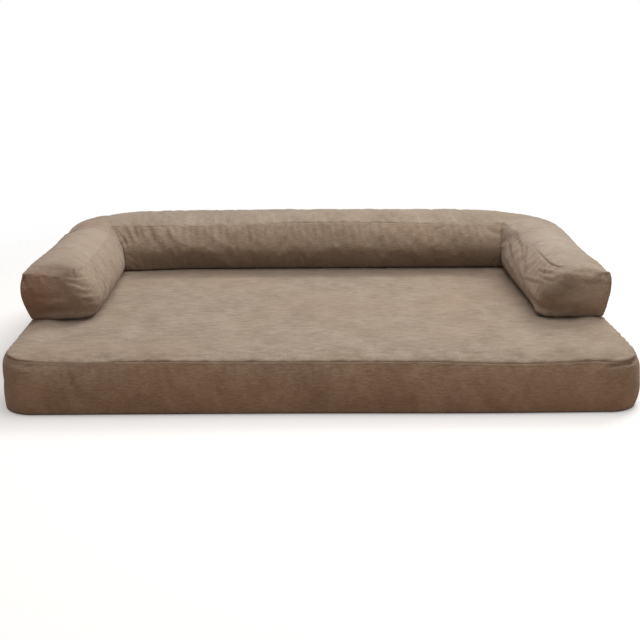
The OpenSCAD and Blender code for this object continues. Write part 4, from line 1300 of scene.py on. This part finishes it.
for name, node, body, up, sweep, bend in (
    ("hook", "hook_strips", "mattress", 1, 4.0, 0.00028),
    ("loop", "loop_strips", "bolster", -1, 3.3, 0.00045),
):
    lowest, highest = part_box(node)
    foot = lowest[2] if up > 0 else highest[2]
    surface = foot + up * TAPE_THICK
    tape_base(f"{name}_tape", min(foot, surface), max(foot, surface), body, node)
    faces_up = tape_faces(f"{name}_faces", surface, up)
    pile.make(f"{name}_pile", faces_up, body, bristle, "hook_and_loop", bend=bend, sweep=sweep, density=140000.0)
    for k, (x, y, w, d) in enumerate(runs):
        path = rectangle(x, y, w / 2 - STITCH_INSET, d / 2 - STITCH_INSET, surface)
        sewn_line(f"{name}_stitches_{k}", path + path[:1], [(0, 0, up)] * 5, body)

# --- Room ---
# A pale floor and an even white surround. Two wide soft lamps light the bed, one overhead and one high behind its
# right corner, with a weak one in front.

bpy.ops.mesh.primitive_plane_add(size=30, location=(0, 0, -0.0005))
floor = bpy.context.object
floor.name = "floor"
# Seen directly or in metal, the floor is nearly white and fades into the white surround; it throws up less light.
pale = Finish("pale_floor", Roughness=0.9, Specular_IOR_Level=0.0, Emission_Strength=0.28)
RAYS_THAT_SEE = ("Is Camera Ray", "Is Glossy Ray", "Is Transmission Ray")
seen = sum(pale.node("ShaderNodeLightPath", {}, {}, ray) for ray in RAYS_THAT_SEE)
seen = seen.math("MINIMUM", seen, 1.0)
place = pale.place()
distance = pale.node("ShaderNodeVectorMath", {"operation": "LENGTH"}, {"Vector": place}, "Value")
pale.set(
    Base_Color=pale.mix(seen, colour(190, 160, 135), colour(240, 239, 238)),
    Emission_Color=pale.mix(seen, (0, 0, 0, 1), (1, 1, 1, 1)),
    Alpha=1 - distance.ramp(0.95, 1.7) * seen,
)
floor.data.materials.append(pale.material)

for name, size, watts, place in (
    ("overhead", 2.2, 43.0, (0.2, -0.42, 2.6)),
    ("key", 2.2, 110.0, (2.2, 2.4, 3.6)),
    ("fill", 2.2, 2.6, (0.4, -3.4, 0.9)),
):
    lamp = bpy.data.lights.new(name, "AREA")
    lamp.size, lamp.energy = size, watts
    lamp.color = (1.0, 0.93, 0.87) if name == "fill" else (1.0, 0.985, 0.965)
    shown = bpy.data.objects.new(name, lamp)
    bpy.context.scene.collection.objects.link(shown)
    x, y, z = place
    shown.location, shown.rotation_euler = place, (math.atan2(math.hypot(x, y), z), 0, math.atan2(x, -y))

world = bpy.data.worlds.new("surround")
bpy.context.scene.world = world
world.use_nodes = True
air = world.node_tree
rays = air.nodes.new("ShaderNodeLightPath")
seen = rays.outputs[RAYS_THAT_SEE[0]]
for ray in RAYS_THAT_SEE[1:]:
    either = air.nodes.new("ShaderNodeMath")
    either.operation = "MAXIMUM"
    air.links.new(seen, either.inputs[0])
    air.links.new(rays.outputs[ray], either.inputs[1])
    seen = either.outputs[0]
blend = air.nodes.new("ShaderNodeMixShader")
air.links.new(seen, blend.inputs[0])
for side, shown, tint, strength in (
    (1, air.nodes["Background"], (1.0, 0.96, 0.92, 1), 0.18),
    (2, air.nodes.new("ShaderNodeBackground"), (1, 1, 1, 1), 1.0),
):
    shown.inputs["Color"].default_value, shown.inputs["Strength"].default_value = tint, strength
    air.links.new(shown.outputs[0], blend.inputs[side])
air.links.new(blend.outputs[0], air.nodes["World Output"].inputs["Surface"])

camera = bpy.data.cameras.new("camera")
camera.lens, camera.sensor_width, camera.shift_x = 51.85, 36, 0.02558
eye = bpy.data.objects.new("camera", camera)
bpy.context.scene.collection.objects.link(eye)
eye.location = (-0.0514, -2.1176, 0.7646)
eye.rotation_euler = (math.pi / 2 - 0.3228, 0.0025, -0.0105)
bpy.context.scene.camera = eye
bpy.context.scene.view_settings.view_transform = "Standard"
